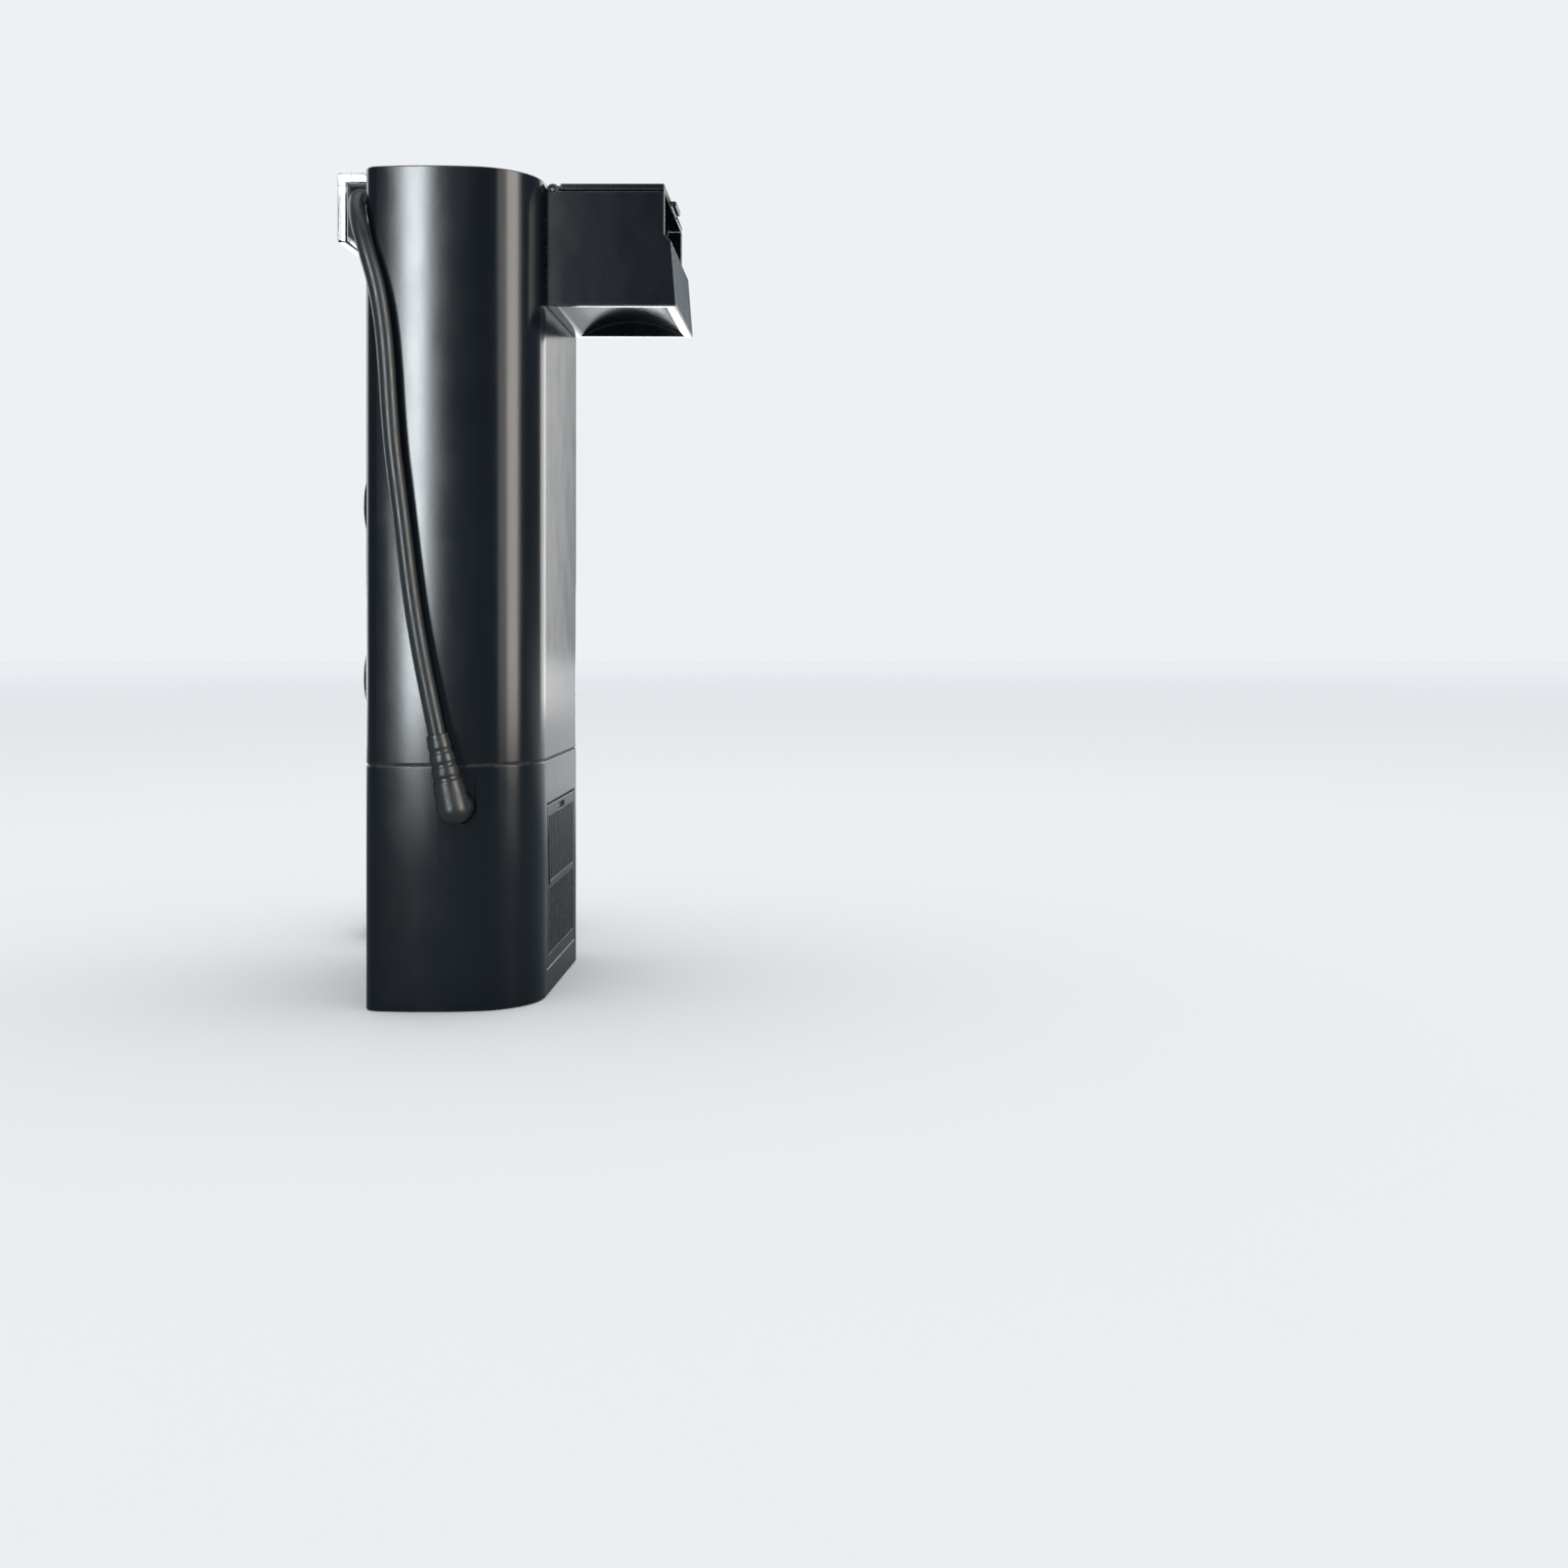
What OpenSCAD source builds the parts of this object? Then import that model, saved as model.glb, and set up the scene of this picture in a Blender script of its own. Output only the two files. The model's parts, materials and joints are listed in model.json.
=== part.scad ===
// Hang-on aquarium filter column: a pump below, media above and a waterfall spout on top.
// +X is the side of the spout, -X is the side of the tank's pane, the base stands on z = 0.

/* [Column] */
// Depth of the column, from the pane side to the spout side
body_x = 50; // [50:0.5:52]
// Width of the column along the pane
body_y = 100; // [100:0.5:104]
// Height of the column
body_z = 246; // [246:1:280]
// Height of the seam between the pump casing and the upper housing
seam_z = 71.5; // [71.5:0.5:73]
// Wall thickness of both shells
wall = 2.4; // [2.2:0.1:2.6]
// Radius of the two corners on the spout side
front_r = 20; // [19:0.5:20]
// Radius of the two corners on the pane side
rear_r = 5; // [5:0.5:6]
// Half the angle that each bowed side turns through
side_turn = 8; // [7:0.5:9]

/* [Spout] */
// Width of the spout
spout_y = 58; // [50:1:58]
// Length of the spout's top beyond the column
spout_len = 35.8; // [34:0.1:40]
// Height of the spout's underside above the base
spout_z0 = 209; // [209:1:210]
// Height of the overflow lip above the base
lip_z = 230.6; // [229:0.2:231]

/* [Pump] */
// Distance between the rotor's axis and the base
rotor_z = 28; // [28:0.5:29]
// Radius of the ceramic shaft
shaft_r = 1.25; // [1.2:0.05:1.25]
// Number of impeller vanes
vanes = 6; // [4:1:8]

/* [Hanger] */
// Space for the tank's pane between the hook and the pads
pane_gap = 4; // [4:0.5:8]
// Distance between the column and the pane
standoff = 10; // [10:0.5:12]
// Width of the hanging bracket
hook_y = 24; // [20:1:24]

/* [Cord] */
// Radius of the cord
cord_r = 2.5; // [2.4:0.05:2.5]
// Radius of the coil at the middle of its turns
coil_r = 27.5; // [27.5:0.5:30]

/* [Hidden] */
$fn = 48;

black = [0.06, 0.07, 0.08];
smoke = [0.30, 0.33, 0.36];
rubber = [0.12, 0.12, 0.12];
ceramic = [0.90, 0.88, 0.84];
steel = [0.70, 0.71, 0.73];
copper = [0.72, 0.40, 0.20];
clear = [0.85, 0.90, 0.92, 0.4];
eps = 1;                                  // overshoot of a cut past the face it opens
gap = 0.3;                                // space between parts that come apart
back_x = -body_x / 2;
front_x = body_x / 2;
gasket_t = 0.4;
floor_t = 3;

// The column's plan: two corner arcs and one long side arc on each side, all tangent.
corner_span = (body_x - front_r - rear_r) / sin(side_turn);
side_r = (corner_span + front_r + rear_r) / 2;
front_c = [front_x - front_r,
  body_y / 2 - side_r + (side_r - front_r) * cos(side_turn)];
side_c = [front_c[0] - (side_r - front_r) * sin(side_turn), body_y / 2 - side_r];
rear_c = [back_x + rear_r, side_c[1] + (side_r - rear_r) * cos(side_turn)];

function arc(c, r, a0, a1, n) =
  [for (i = [0 : n]) c + r * [cos(a0 + (a1 - a0) * i / n), sin(a0 + (a1 - a0) * i / n)]];
function half_plan(inset) = concat(
  arc(front_c, front_r - inset, 0, 90 - side_turn, 12),
  arc(side_c, side_r - inset, 90 - side_turn + 2, 90 + side_turn - 2, 6),
  arc(rear_c, max(rear_r - inset, 0.4), 90 + side_turn, 180, 5));
function plan(inset) = let (h = half_plan(inset))
  concat(h, [for (k = [len(h) - 1 : -1 : 0]) [h[k][0], -h[k][1]]]);

module prism(inset, z0, z1) {
  translate([0, 0, z0]) linear_extrude(z1 - z0) polygon(plan(inset));
}

module shell(inset, thick, z0, z1) {
  difference() {
    prism(inset, z0, z1);
    prism(inset + thick, z0 - eps, z1 + eps);
  }
}

// A box between two corners.
module span(low, high) {
  translate(low) cube(high - low);
}

module along_x(y, z, x0, x1, r) {
  translate([x0, y, z]) rotate([0, 90, 0]) cylinder(h = x1 - x0, r = r);
}

module along_y(x, z, y0, y1, r) {
  translate([x, y0, z]) rotate([-90, 0, 0]) cylinder(h = y1 - y0, r = r);
}

// A side profile in X and Z, drawn out along Y.
module slab(points, y0, y1) {
  translate([0, y1, 0]) rotate([90, 0, 0]) linear_extrude(y1 - y0) polygon(points);
}

// ---- upper housing ----
rail_z0 = 184;                            // the hanger's rail at the back
rail_y = 15;
rail_x = back_x + 5.2;
slot_z0 = 188;
slot_lip_x = back_x + 1.4;                // the T-slot's narrow part ends here
slot_back_x = back_x + 3.4;
slot_in_y = 9.2;
slot_wide_y = 12.2;
cup_z = [150, 96];
cup_socket_r = 2.6;
window_y = spout_y / 2 - 2.4;
window_z0 = 216;
window_z1 = 243;
screw_y = 34;
screw_z = 74.3;

module main_housing() {
  color(black) difference() {
    union() {
      shell(0, wall, seam_z + gasket_t, body_z);
      intersection() {
        prism(0, rail_z0, body_z);
        span([back_x, -rail_y, rail_z0], [rail_x, rail_y, body_z]);
      }
      for (z = cup_z) along_x(0, z, back_x - 3, back_x + 1.2, 5.2);
    }
    span([back_x - eps, -slot_in_y, slot_z0], [slot_lip_x, slot_in_y, body_z + eps]);
    span([slot_lip_x - 0.01, -slot_wide_y, slot_z0], [slot_back_x, slot_wide_y, body_z + eps]);
    for (z = cup_z) along_x(0, z, back_x - 3 - eps, back_x - 0.4, cup_socket_r);
    span([front_x - wall - eps, -window_y, window_z0], [front_x + eps, window_y, window_z1]);
    for (s = [-1, 1]) along_x(s * screw_y, screw_z, back_x - eps, back_x + wall + eps, 1.5);
  }
}

// ---- lower casing ----
spigot_z1 = 77;
shoulder_z = 66;                          // the casing's wall is thicker above this
gland_x = 2.8;
gland_z = 59.5;
gland_r = 4.8;
level_z = 58;
stud_r = 3;
strainer_y = 27;
strainer_z0 = 8;
strainer_z1 = 58;

module lower_casing() {
  color(black) difference() {
    union() {
      difference() {
        union() {
          prism(0, 0, seam_z);
          prism(wall + gap, seam_z - eps, spigot_z1);
        }
        prism(wall, floor_t, shoulder_z);
        prism(wall + gap + 1.8, shoulder_z - eps, spigot_z1 + eps);
      }
      for (s = [-1, 1]) along_x(s * screw_y, screw_z, back_x + wall + 1.2, back_x + 7.5, 2.6);
      along_x(0, level_z, back_x + 1, back_x + 13, 6);
    }
    span([front_x - wall - 2.5, -strainer_y, strainer_z0], [front_x + eps, strainer_y, strainer_z1]);
    along_y(gland_x, gland_z, -body_y / 2 - eps, -body_y / 2 + wall + 3, gland_r + 0.1);
    for (s = [-1, 1]) along_x(s * screw_y, screw_z, back_x + wall, back_x + 6.6, 1.3);
    along_x(0, level_z, back_x - eps, back_x + 14, stud_r + 0.05);
  }
}

module seam_gasket() {
  color(rubber) shell(0.5, wall - 0.6, seam_z, seam_z + gasket_t);
}

module casing_screws() {
  color(steel) for (s = [-1, 1]) {
    along_x(s * screw_y, screw_z, back_x - 1.4, back_x, 2.7);
    along_x(s * screw_y, screw_z, back_x - 0.1, back_x + 6.4, 1.25);
  }
}

// ---- partition with the pump's outlet socket ----
outlet = [6.7, 4.1];
pipe_r = 6.2;
floor_z = spigot_z1 + 0.2;
socket_r = 8.85;

module chamber_floor() {
  color(smoke) difference() {
    union() {
      prism(wall + 0.1, floor_z, floor_z + 2.5);
      translate([outlet[0], outlet[1], floor_z - 7.2]) cylinder(h = 7.3, r = 11);
    }
    translate([outlet[0], outlet[1], floor_z - 7.2 - eps]) cylinder(h = 12, r = socket_r);
  }
}

// ---- spout ----
cheek_t = 2.4;
spout_x1 = front_x + spout_len;           // the spout's top front corner
lip_out = 3.6;                            // how far its foot stands out beyond that
trough_z1 = body_z - 2.2;
hinge_x = front_x + 2;
hinge_z = body_z - 1.8;
hinge_r = 1.8;
pin_r = 0.8;
vault_rise = 5;
vault_half = 17.2;
vault_r = (vault_half * vault_half + vault_rise * vault_rise) / (2 * vault_rise);

module spout_trough() {
  outer = [[front_x, spout_z0], [spout_x1 + lip_out, spout_z0],
    [spout_x1 + 2.1, lip_z - 2.1], [spout_x1, lip_z], [spout_x1, trough_z1], [front_x, trough_z1]];
  inner = [[front_x - eps, spout_z0 + 7.5], [spout_x1 + 0.6, spout_z0 + 7.5],
    [spout_x1 - 0.2, lip_z - 2.4], [spout_x1 - 2.2, lip_z], [spout_x1 + 5, lip_z],
    [spout_x1 + 5, body_z + eps], [front_x - eps, body_z + eps]];
  mid_x = front_x + 2.5 + vault_half;
  color(black) difference() {
    union() {
      slab(outer, -spout_y / 2, spout_y / 2);
      for (s = [-1, 1]) hinge_ear(s);
    }
    slab(inner, -window_y, window_y);
    along_y(mid_x, spout_z0 + vault_rise - vault_r, -window_y, window_y, vault_r);
    along_y(hinge_x, hinge_z, -spout_y / 2 - eps, spout_y / 2 + eps, pin_r + 0.06);
  }
}

module hinge_ear(s) {
  y0 = s > 0 ? window_y : -spout_y / 2;
  along_y(hinge_x, hinge_z, y0, y0 + cheek_t, hinge_r);
  span([front_x, y0, trough_z1 - 3], [hinge_x + hinge_r, y0 + cheek_t, hinge_z]);
}

module spout_hinge_pin() {
  color(steel) along_y(hinge_x, hinge_z, -spout_y / 2, spout_y / 2, pin_r);
}

module spout_cover() {
  neck_y = window_y - gap;
  plate_x = hinge_x + 2.3;
  color(black) difference() {
    union() {
      along_y(hinge_x, hinge_z, -neck_y, neck_y, hinge_r);
      span([hinge_x, -neck_y, body_z - 1.7], [plate_x + eps, neck_y, body_z]);
      span([plate_x, -spout_y / 2, body_z - 2], [spout_x1, spout_y / 2, body_z]);
      span([spout_x1 - eps, -7, body_z - 1.6], [spout_x1 + 1.5, 7, body_z]);
      for (s = [-1, 1])
        span([plate_x + 3, s * 24 - 0.8, body_z - 4.5], [spout_x1 - 4, s * 24 + 0.8, body_z - 1]);
    }
    along_y(hinge_x, hinge_z, -neck_y - eps, neck_y + eps, pin_r + 0.06);
  }
}

module weir_comb() {
  comb_y = window_y - gap;
  teeth = 12;
  color(black) {
    for (z = [window_z0 + 0.2, window_z1 - 2.2])
      span([front_x - 2.2, -comb_y, z], [front_x - 0.2, comb_y, z + 2]);
    for (i = [0 : teeth]) let (y = -comb_y + 0.8 + i * (2 * comb_y - 1.6) / teeth)
      span([front_x - 2.1, y - 0.8, window_z0 + 1], [front_x - 0.4, y + 0.8, window_z1 - 1]);
  }
}

// ---- media basket and what it holds ----
basket_in = wall + 0.6;                   // inset of the basket's outside
basket_t = 1.6;
basket_back = rail_x + 1.2;               // its flat back passes in front of the rail
basket_z0 = floor_z + 5.8;
basket_z1 = body_z - 2.6;
lid_z0 = body_z - 2.5;
dish = [[-14, -24], [16, 24]];            // recess for the folding handle
dish_z0 = body_z - 7;
handle_x = -10;
handle_z = body_z - 3.6;

// The column's plan behind a flat back, between two heights.
module media_prism(inset, back, z0, z1) {
  intersection() {
    prism(inset, z0, z1);
    span([back, -body_y, z0 - eps], [body_x, body_y, z1 + eps]);
  }
}

module slots_z(x_list, y_list, size, z0, z1) {
  for (x = x_list, y = y_list)
    span([x - size[0] / 2, y - size[1] / 2, z0], [x + size[0] / 2, y + size[1] / 2, z1]);
}

module media_basket() {
  inner_back = basket_back + basket_t;
  color(smoke) difference() {
    union() {
      media_prism(basket_in, basket_back, basket_z0, basket_z1);
      for (x = [-12, 10], y = [-30, 30])
        span([x - 3, y - 3, floor_z + 2.6], [x + 3, y + 3, basket_z0 + eps]);
    }
    media_prism(basket_in + basket_t, inner_back, basket_z0 + 2, basket_z1 + eps);
    slots_z([-13, -7, -1, 5, 11, 17], [for (i = [-3 : 3]) i * 9], [3, 6], basket_z0 - 1, basket_z0 + 3);
    for (z = [90, 132, 172], x = [-12 : 6 : 6])
      span([x - 1.2, -body_y, z], [x + 1.2, body_y, z + 32]);
    span([10, -24, window_z0 - 2], [body_x, 24, window_z1 - 3]);
  }
}

module basket_lid() {
  lid_in = wall + 0.4;
  notch_x = rail_x + 0.3;
  color(black) difference() {
    union() {
      difference() {
        prism(lid_in, lid_z0, body_z);
        span([-body_x, -rail_y - gap, lid_z0 - eps], [notch_x, rail_y + gap, body_z + eps]);
      }
      difference() {
        media_prism(basket_in + 1.9, basket_back + 1.9, lid_z0 - 4, lid_z0 + 0.1);
        media_prism(basket_in + 3.1, basket_back + 3.1, lid_z0 - 5, lid_z0 - 0.01);
        span([14, -24, lid_z0 - 5], [body_x, 24, lid_z0 - 0.2]);
      }
      span([dish[0][0] - 1.4, dish[0][1] - 1.6, dish_z0 - 1.4],
        [dish[1][0] + 1.4, dish[1][1] + 1.6, lid_z0 + 0.1]);
    }
    span([dish[0][0], dish[0][1], dish_z0], [dish[1][0], dish[1][1], body_z + eps]);
    along_y(handle_x, handle_z, dish[0][1] - 1.2, dish[1][1] + 1.2, 1.56);
  }
}

module lift_handle() {
  bar_x = 11.5;
  arm_y = 20;
  color(black) {
    for (s = [-1, 1]) {
      along_y(handle_x, handle_z, s * arm_y - 2, s * arm_y + 2, 2.5);
      span([handle_x, s * arm_y - 2, handle_z - 1.4], [bar_x, s * arm_y + 2, handle_z + 1.4]);
      along_y(handle_x, handle_z, s * 23 - 2, s * 23 + 2, 1.5);
    }
    along_y(bar_x, handle_z, -arm_y - 2, arm_y + 2, 2.4);
  }
}

module tier_divider(z0) {
  color(smoke) difference() {
    media_prism(basket_in + 1.9, basket_back + 1.9, z0, z0 + 2);
    slots_z([-12, -5, 2, 9], [for (i = [-4 : 4]) i * 8], [4, 5], z0 - 1, z0 + 3);
  }
}

module tier_divider_lower() { tier_divider(128); }
module tier_divider_upper() { tier_divider(168); }

module ceramic_rings() {
  pitch = 11.9;
  color(ceramic)
    for (layer = [0 : 2], col = [0 : 2], row = [-3 : 3])
      if (col < 2 || abs(row) < 3)
        translate([-10.3 + col * pitch, row * pitch, basket_z0 + 2.4 + layer * 13.6])
          difference() {
            cylinder(h = 12.6, r = 5.4);
            translate([0, 0, -eps]) cylinder(h = 15, r = 2.4);
          }
}

module carbon_cassette() {
  color(smoke) difference() {
    media_prism(basket_in + 1.9, basket_back + 1.9, 131, 167);
    media_prism(basket_in + 3.1, basket_back + 3.1, 132.2, 165.8);
    slots_z([-11, -4, 3, 10], [for (i = [-5 : 5]) i * 7], [4.5, 4.5], 130, 168);
  }
}

module carbon_fill() {
  color([0.1, 0.1, 0.1]) media_prism(basket_in + 3.5, basket_back + 3.5, 132.5, 165.5);
}

module foam_block() {
  color([0.15, 0.35, 0.65]) media_prism(basket_in + 2.2, basket_back + 2.2, 170.4, 211.5);
}

// ---- motor ----
rotor_x = -1.5;
can_x = [-18, 15];
can_y = [-40, -2.2];
can_z = [8, 48];
well_r = 7.4;
well_y = -22;
pocket_half = 15.1;
leg_in = 8.9;
leg_out = 13.5;

module motor_can() {
  color(black) difference() {
    span([can_x[0], can_y[0], can_z[0]], [can_x[1], can_y[1], can_z[1]]);
    difference() {
      span([rotor_x - pocket_half, can_y[0] - eps, can_z[0] + 2],
        [rotor_x + pocket_half, can_y[1] - 1.8, can_z[1] - 2]);
      along_y(rotor_x, rotor_z, well_y - 1.6, can_y[1], well_r + 1.3);
    }
    along_y(rotor_x, rotor_z, well_y, can_y[1] + eps, well_r);
    translate([gland_x, -34, can_z[1] - 3]) cylinder(h = 5, r = 2.6);
  }
}

module motor_end_cap() {
  color(black) difference() {
    span([can_x[0], can_y[0] - 1.8, can_z[0]], [can_x[1], can_y[0], can_z[1]]);
    for (z = [14 : 4 : 42]) span([-12, can_y[0] - 3, z], [9, can_y[0] - 1, z + 1.6]);
  }
}

module stator_core() {
  color(steel) {
    for (s = [-1, 1]) let (a = rotor_x + s * leg_in, b = rotor_x + s * leg_out)
      span([min(a, b), -38.5, 20], [max(a, b), -6, 36]);
    span([rotor_x - leg_in - 0.1, -38.5, 20], [rotor_x + leg_in + 0.1, -33.5, 36]);
  }
}

module coil_windings() {
  color(copper) for (s = [-1, 1]) mirror_x(s) difference() {
    span([5.7, -32.8, 16.5], [15, -24.6, 39.5]);
    span([leg_in - 0.2, -34, 19.8], [leg_out + 0.2, -23, 36.2]);
  }
}

// Places a child on one side or the other of the rotor's axis.
module mirror_x(s) {
  translate([rotor_x, 0, 0]) mirror([s < 0 ? 1 : 0, 0, 0]) children();
}

module inner_lead() {
  color(rubber) {
    along_y(gland_x, gland_z, -46, -34, 2.4);
    translate([gland_x, -34, gland_z]) sphere(r = 2.4);
    translate([gland_x, -34, can_z[1] - 2.8]) cylinder(h = gland_z - can_z[1] + 2.8, r = 2.4);
  }
}

module pump_feet() {
  color(rubber) for (x = [-12, 12], y = [-34, -9])
    translate([rotor_x + x, y, floor_t]) cylinder(h = can_z[0] - floor_t, r = 3.2);
}

// ---- rotor and pump head ----
magnet_y = [-20.8, -5];

module rotor_magnet() {
  color([0.2, 0.2, 0.22]) difference() {
    along_y(rotor_x, rotor_z, magnet_y[0], magnet_y[1], 6.7);
    along_y(rotor_x, rotor_z, magnet_y[0] - eps, magnet_y[1] + eps, shaft_r + 0.05);
  }
}

module impeller() {
  vane_y = [1.9, 8.4];
  color([0.85, 0.85, 0.86]) difference() {
    union() {
      along_y(rotor_x, rotor_z, magnet_y[1], vane_y[1], 3);
      along_y(rotor_x, rotor_z, 0.6, vane_y[0], 11);
      for (i = [0 : vanes - 1])
        translate([rotor_x, 0, rotor_z]) rotate([0, i * 360 / vanes, 0])
          span([2, vane_y[0] - 0.1, -0.7], [11, vane_y[1], 0.7]);
    }
    along_y(rotor_x, rotor_z, magnet_y[1] - eps, vane_y[1] + eps, shaft_r + 0.05);
  }
}

module impeller_shaft() {
  color(ceramic) along_y(rotor_x, rotor_z, well_y + 0.1, 19.2, shaft_r);
}

module bush(y0, y1, r) {
  color(rubber) difference() {
    along_y(rotor_x, rotor_z, y0, y1, r);
    along_y(rotor_x, rotor_z, y0 - eps, y1 + eps, shaft_r);
  }
}

module shaft_bush_rear() { bush(well_y + 0.05, well_y + 0.8, 3); }
module shaft_bush_front() { bush(16.6, 19.4, 1.95); }

module volute() {
  color(black) difference() {
    union() {
      along_y(rotor_x, rotor_z, can_y[1], 10.4, 16);
      translate([outlet[0], outlet[1], rotor_z]) cylinder(h = 48, r = pipe_r);
      translate([outlet[0], outlet[1], 65.5]) cylinder(h = 3.2, r = 8.6);
    }
    along_y(rotor_x, rotor_z, can_y[1] + 2, 10.4 + eps, 13.2);
    along_y(rotor_x, rotor_z, can_y[1] - eps, can_y[1] + 3, well_r + 0.1);
    translate([outlet[0], outlet[1], rotor_z]) cylinder(h = 50, r = 4.8);
  }
}

intake_r = 8.2;
dial_windows = 6;

// Windows around the intake collar, as cuts between two radii.
module intake_windows(y0, y1) {
  for (i = [0 : dial_windows - 1])
    translate([rotor_x, 0, rotor_z]) rotate([0, i * 360 / dial_windows, 0])
      span([4, y0, -2], [14, y1, 2]);
}

module volute_cover() {
  color(black) difference() {
    union() {
      difference() {
        along_y(rotor_x, rotor_z, 10.4, 12.8, 16);
        along_y(rotor_x, rotor_z, 10, 13, 6.4);
      }
      difference() {
        along_y(rotor_x, rotor_z, 12.7, 20.2, intake_r);
        along_y(rotor_x, rotor_z, 12, 20, 6.4);
        intake_windows(14.4, 18.8);
      }
      along_y(rotor_x, rotor_z, 19.9, 21.4, 9);
      along_y(rotor_x, rotor_z, 16.5, 20, 3.4);
    }
    along_y(rotor_x, rotor_z, 16, 19.4, 1.96);
  }
}

module flow_dial() {
  color([0.80, 0.22, 0.15]) difference() {
    union() {
      along_y(rotor_x, rotor_z, 13.2, 19.6, 10.2);
      translate([rotor_x, 0, rotor_z]) rotate([0, -120, 0]) span([9.5, 14, -1.5], [13.5, 19, 1.5]);
    }
    along_y(rotor_x, rotor_z, 12, 21, intake_r + 0.06);
    intake_windows(14.4, 18.8);
  }
}

module outlet_oring() {
  ring_r = (socket_r - pipe_r) / 2 - 0.03;
  color(rubber) translate([outlet[0], outlet[1], floor_z - 7.2 + ring_r + 0.1])
    rotate_extrude() translate([(socket_r + pipe_r) / 2, 0]) circle(r = ring_r, $fn = 24);
}

// ---- intake ----
module intake_strainer() {
  edge = gap;
  low = [front_x - 2.3, -strainer_y + edge, strainer_z0 + edge];
  high = [front_x, strainer_y - edge, strainer_z1 - edge];
  color(black) difference() {
    span(low, high);
    for (i = [-6 : 6]) for (z = [12, 34.2])
      span([low[0] - eps, i * 3.8 - 1.1, z], [high[0] + eps, i * 3.8 + 1.1, z + 19.8]);
    span([front_x - 1, -6, 54.6], [front_x + eps, 6, 56.4]);
  }
}

module prefilter_foam() {
  color([0.2, 0.2, 0.22]) span([18.2, -24, 11], [22.4, 24, 55]);
}

// ---- hanger ----
hook_in_x = back_x - standoff - pane_gap - 0.2;  // inner face of the outer leg's pad
arm_z0 = body_z + 4.4;
leg_z0 = 232;

module hanger_bracket() {
  half = hook_y / 2;
  plate_x1 = slot_back_x - 0.2;
  color(clear) {
    span([slot_lip_x + 0.2, -half, slot_z0 + 2], [plate_x1, half, arm_z0 + 0.1]);
    span([back_x, -slot_in_y + 0.2, slot_z0 + 2], [slot_lip_x + 0.3, slot_in_y - 0.2, arm_z0 + 0.1]);
    span([hook_in_x - 3.8, -half, arm_z0], [plate_x1, half, arm_z0 + 3.2]);
    span([hook_in_x - 3.8, -half, leg_z0], [hook_in_x - 0.8, half, arm_z0 + 0.1]);
  }
}

module rim_pad() {
  half = hook_y / 2 - 1;
  color(rubber) {
    span([hook_in_x - 0.8, -half, arm_z0 - 1], [hook_in_x + pane_gap + 1.2, half, arm_z0]);
    span([hook_in_x - 0.8, -half, leg_z0 + 2], [hook_in_x, half, arm_z0 - 0.5]);
  }
}

module suction_cup(z) {
  color(rubber) translate([back_x, 0, z]) rotate([0, -90, 0]) rotate_extrude()
    polygon([[0, 0.6], [2.5, 0.6], [2.5, 3.3], [4.8, 3.3], [6, 5.4], [11, standoff - 0.4],
      [11, standoff], [10.2, standoff], [5, 7.2], [0, 6.4]]);
}

module suction_cup_upper() { suction_cup(cup_z[0]); }
module suction_cup_lower() { suction_cup(cup_z[1]); }

// ---- levelling screw at the back of the casing ----
wheel_x = [back_x - 6.4, back_x - 3.2];

module level_screw() {
  color(black) {
    difference() {
      along_x(0, level_z, wheel_x[0], wheel_x[1], 9);
      for (a = [0 : 30 : 330]) translate([0, 9.6 * cos(a), level_z + 9.6 * sin(a)])
        rotate([0, 90, 0]) translate([0, 0, wheel_x[0] - eps]) cylinder(h = 6, r = 1.4);
    }
    along_x(0, level_z, wheel_x[1] - 0.1, back_x + 12, stud_r);
    along_x(0, level_z, back_x - 8.4, wheel_x[0] + 0.1, 1.84);
  }
}

module level_pad() {
  color(rubber) difference() {
    along_x(0, level_z, back_x - standoff, back_x - 7, 7);
    along_x(0, level_z, back_x - 8.6, back_x - 6, 1.9);
  }
}

// ---- cord ----
// The route: up the side, round the rear edge, along the back and down to the coil.
route = [[-2, -54.6, 81], [-4.3, -54.6, 92], [-6.7, -54.5, 104], [-8.8, -54.3, 116],
  [-10.5, -54.2, 128], [-12, -54, 140], [-13.5, -54, 152], [-15, -53.8, 164],
  [-16, -53.6, 176], [-16.8, -53.5, 188], [-18, -53.4, 200], [-20, -53.2, 211],
  [-23, -52.3, 221], [-26, -49.5, 230], [-28, -44, 236.5], [-28.9, -36, 240],
  [-29, -27, 240.8], [-29, -16, 240.8], [-29, -4, 240.2], [-29, 8, 237.5],
  [-29, 19, 232], [-29, 28, 224], [-29, 34, 214], [-29, 37, 203],
  [-29, 38, 191], [-29, 38, 178], [-29, 38, 165], [-29, 38, 152],
  [-29, 38, 139], [-29, 38, 126], [-29, 38, 113], [-29, 38, 100],
  [-29, 38, 87], [-29, 38, 74], [-29, 38, 61], [-29, 38, 50],
  [-29, 38.5, 39], [-29, 40.3, 28.5], [-29.3, 44, 18.5], [-31, 50.5, 10.5],
  [-35, 57.5, 5.4], [-41, 64.4, 3.4], [-45, 68.4, 3], [-49.2, 72.6, 2.9]];
coil_c = [-28, 94];
coil_z = [0.35, 15.6];
coil_half = 5.2;
// The last stretch lies on the coil and runs into the plug's tail.
tail_z = coil_z[1] + cord_r;
tail = [[-0.5, 94, tail_z], [-2.5, 83.7, tail_z], [-8.6, 74.6, tail_z], [-15.9, 69.9, tail_z],
  [-24.4, 68.8, tail_z], [-32.7, 71.4, tail_z], [-39.1, 77.2, tail_z], [-41.8, 82.9, tail_z],
  [-42.7, 88.7, tail_z]];
gland_top = route[0];
elbow = [gland_x, route[0][1], gland_z];

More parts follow.
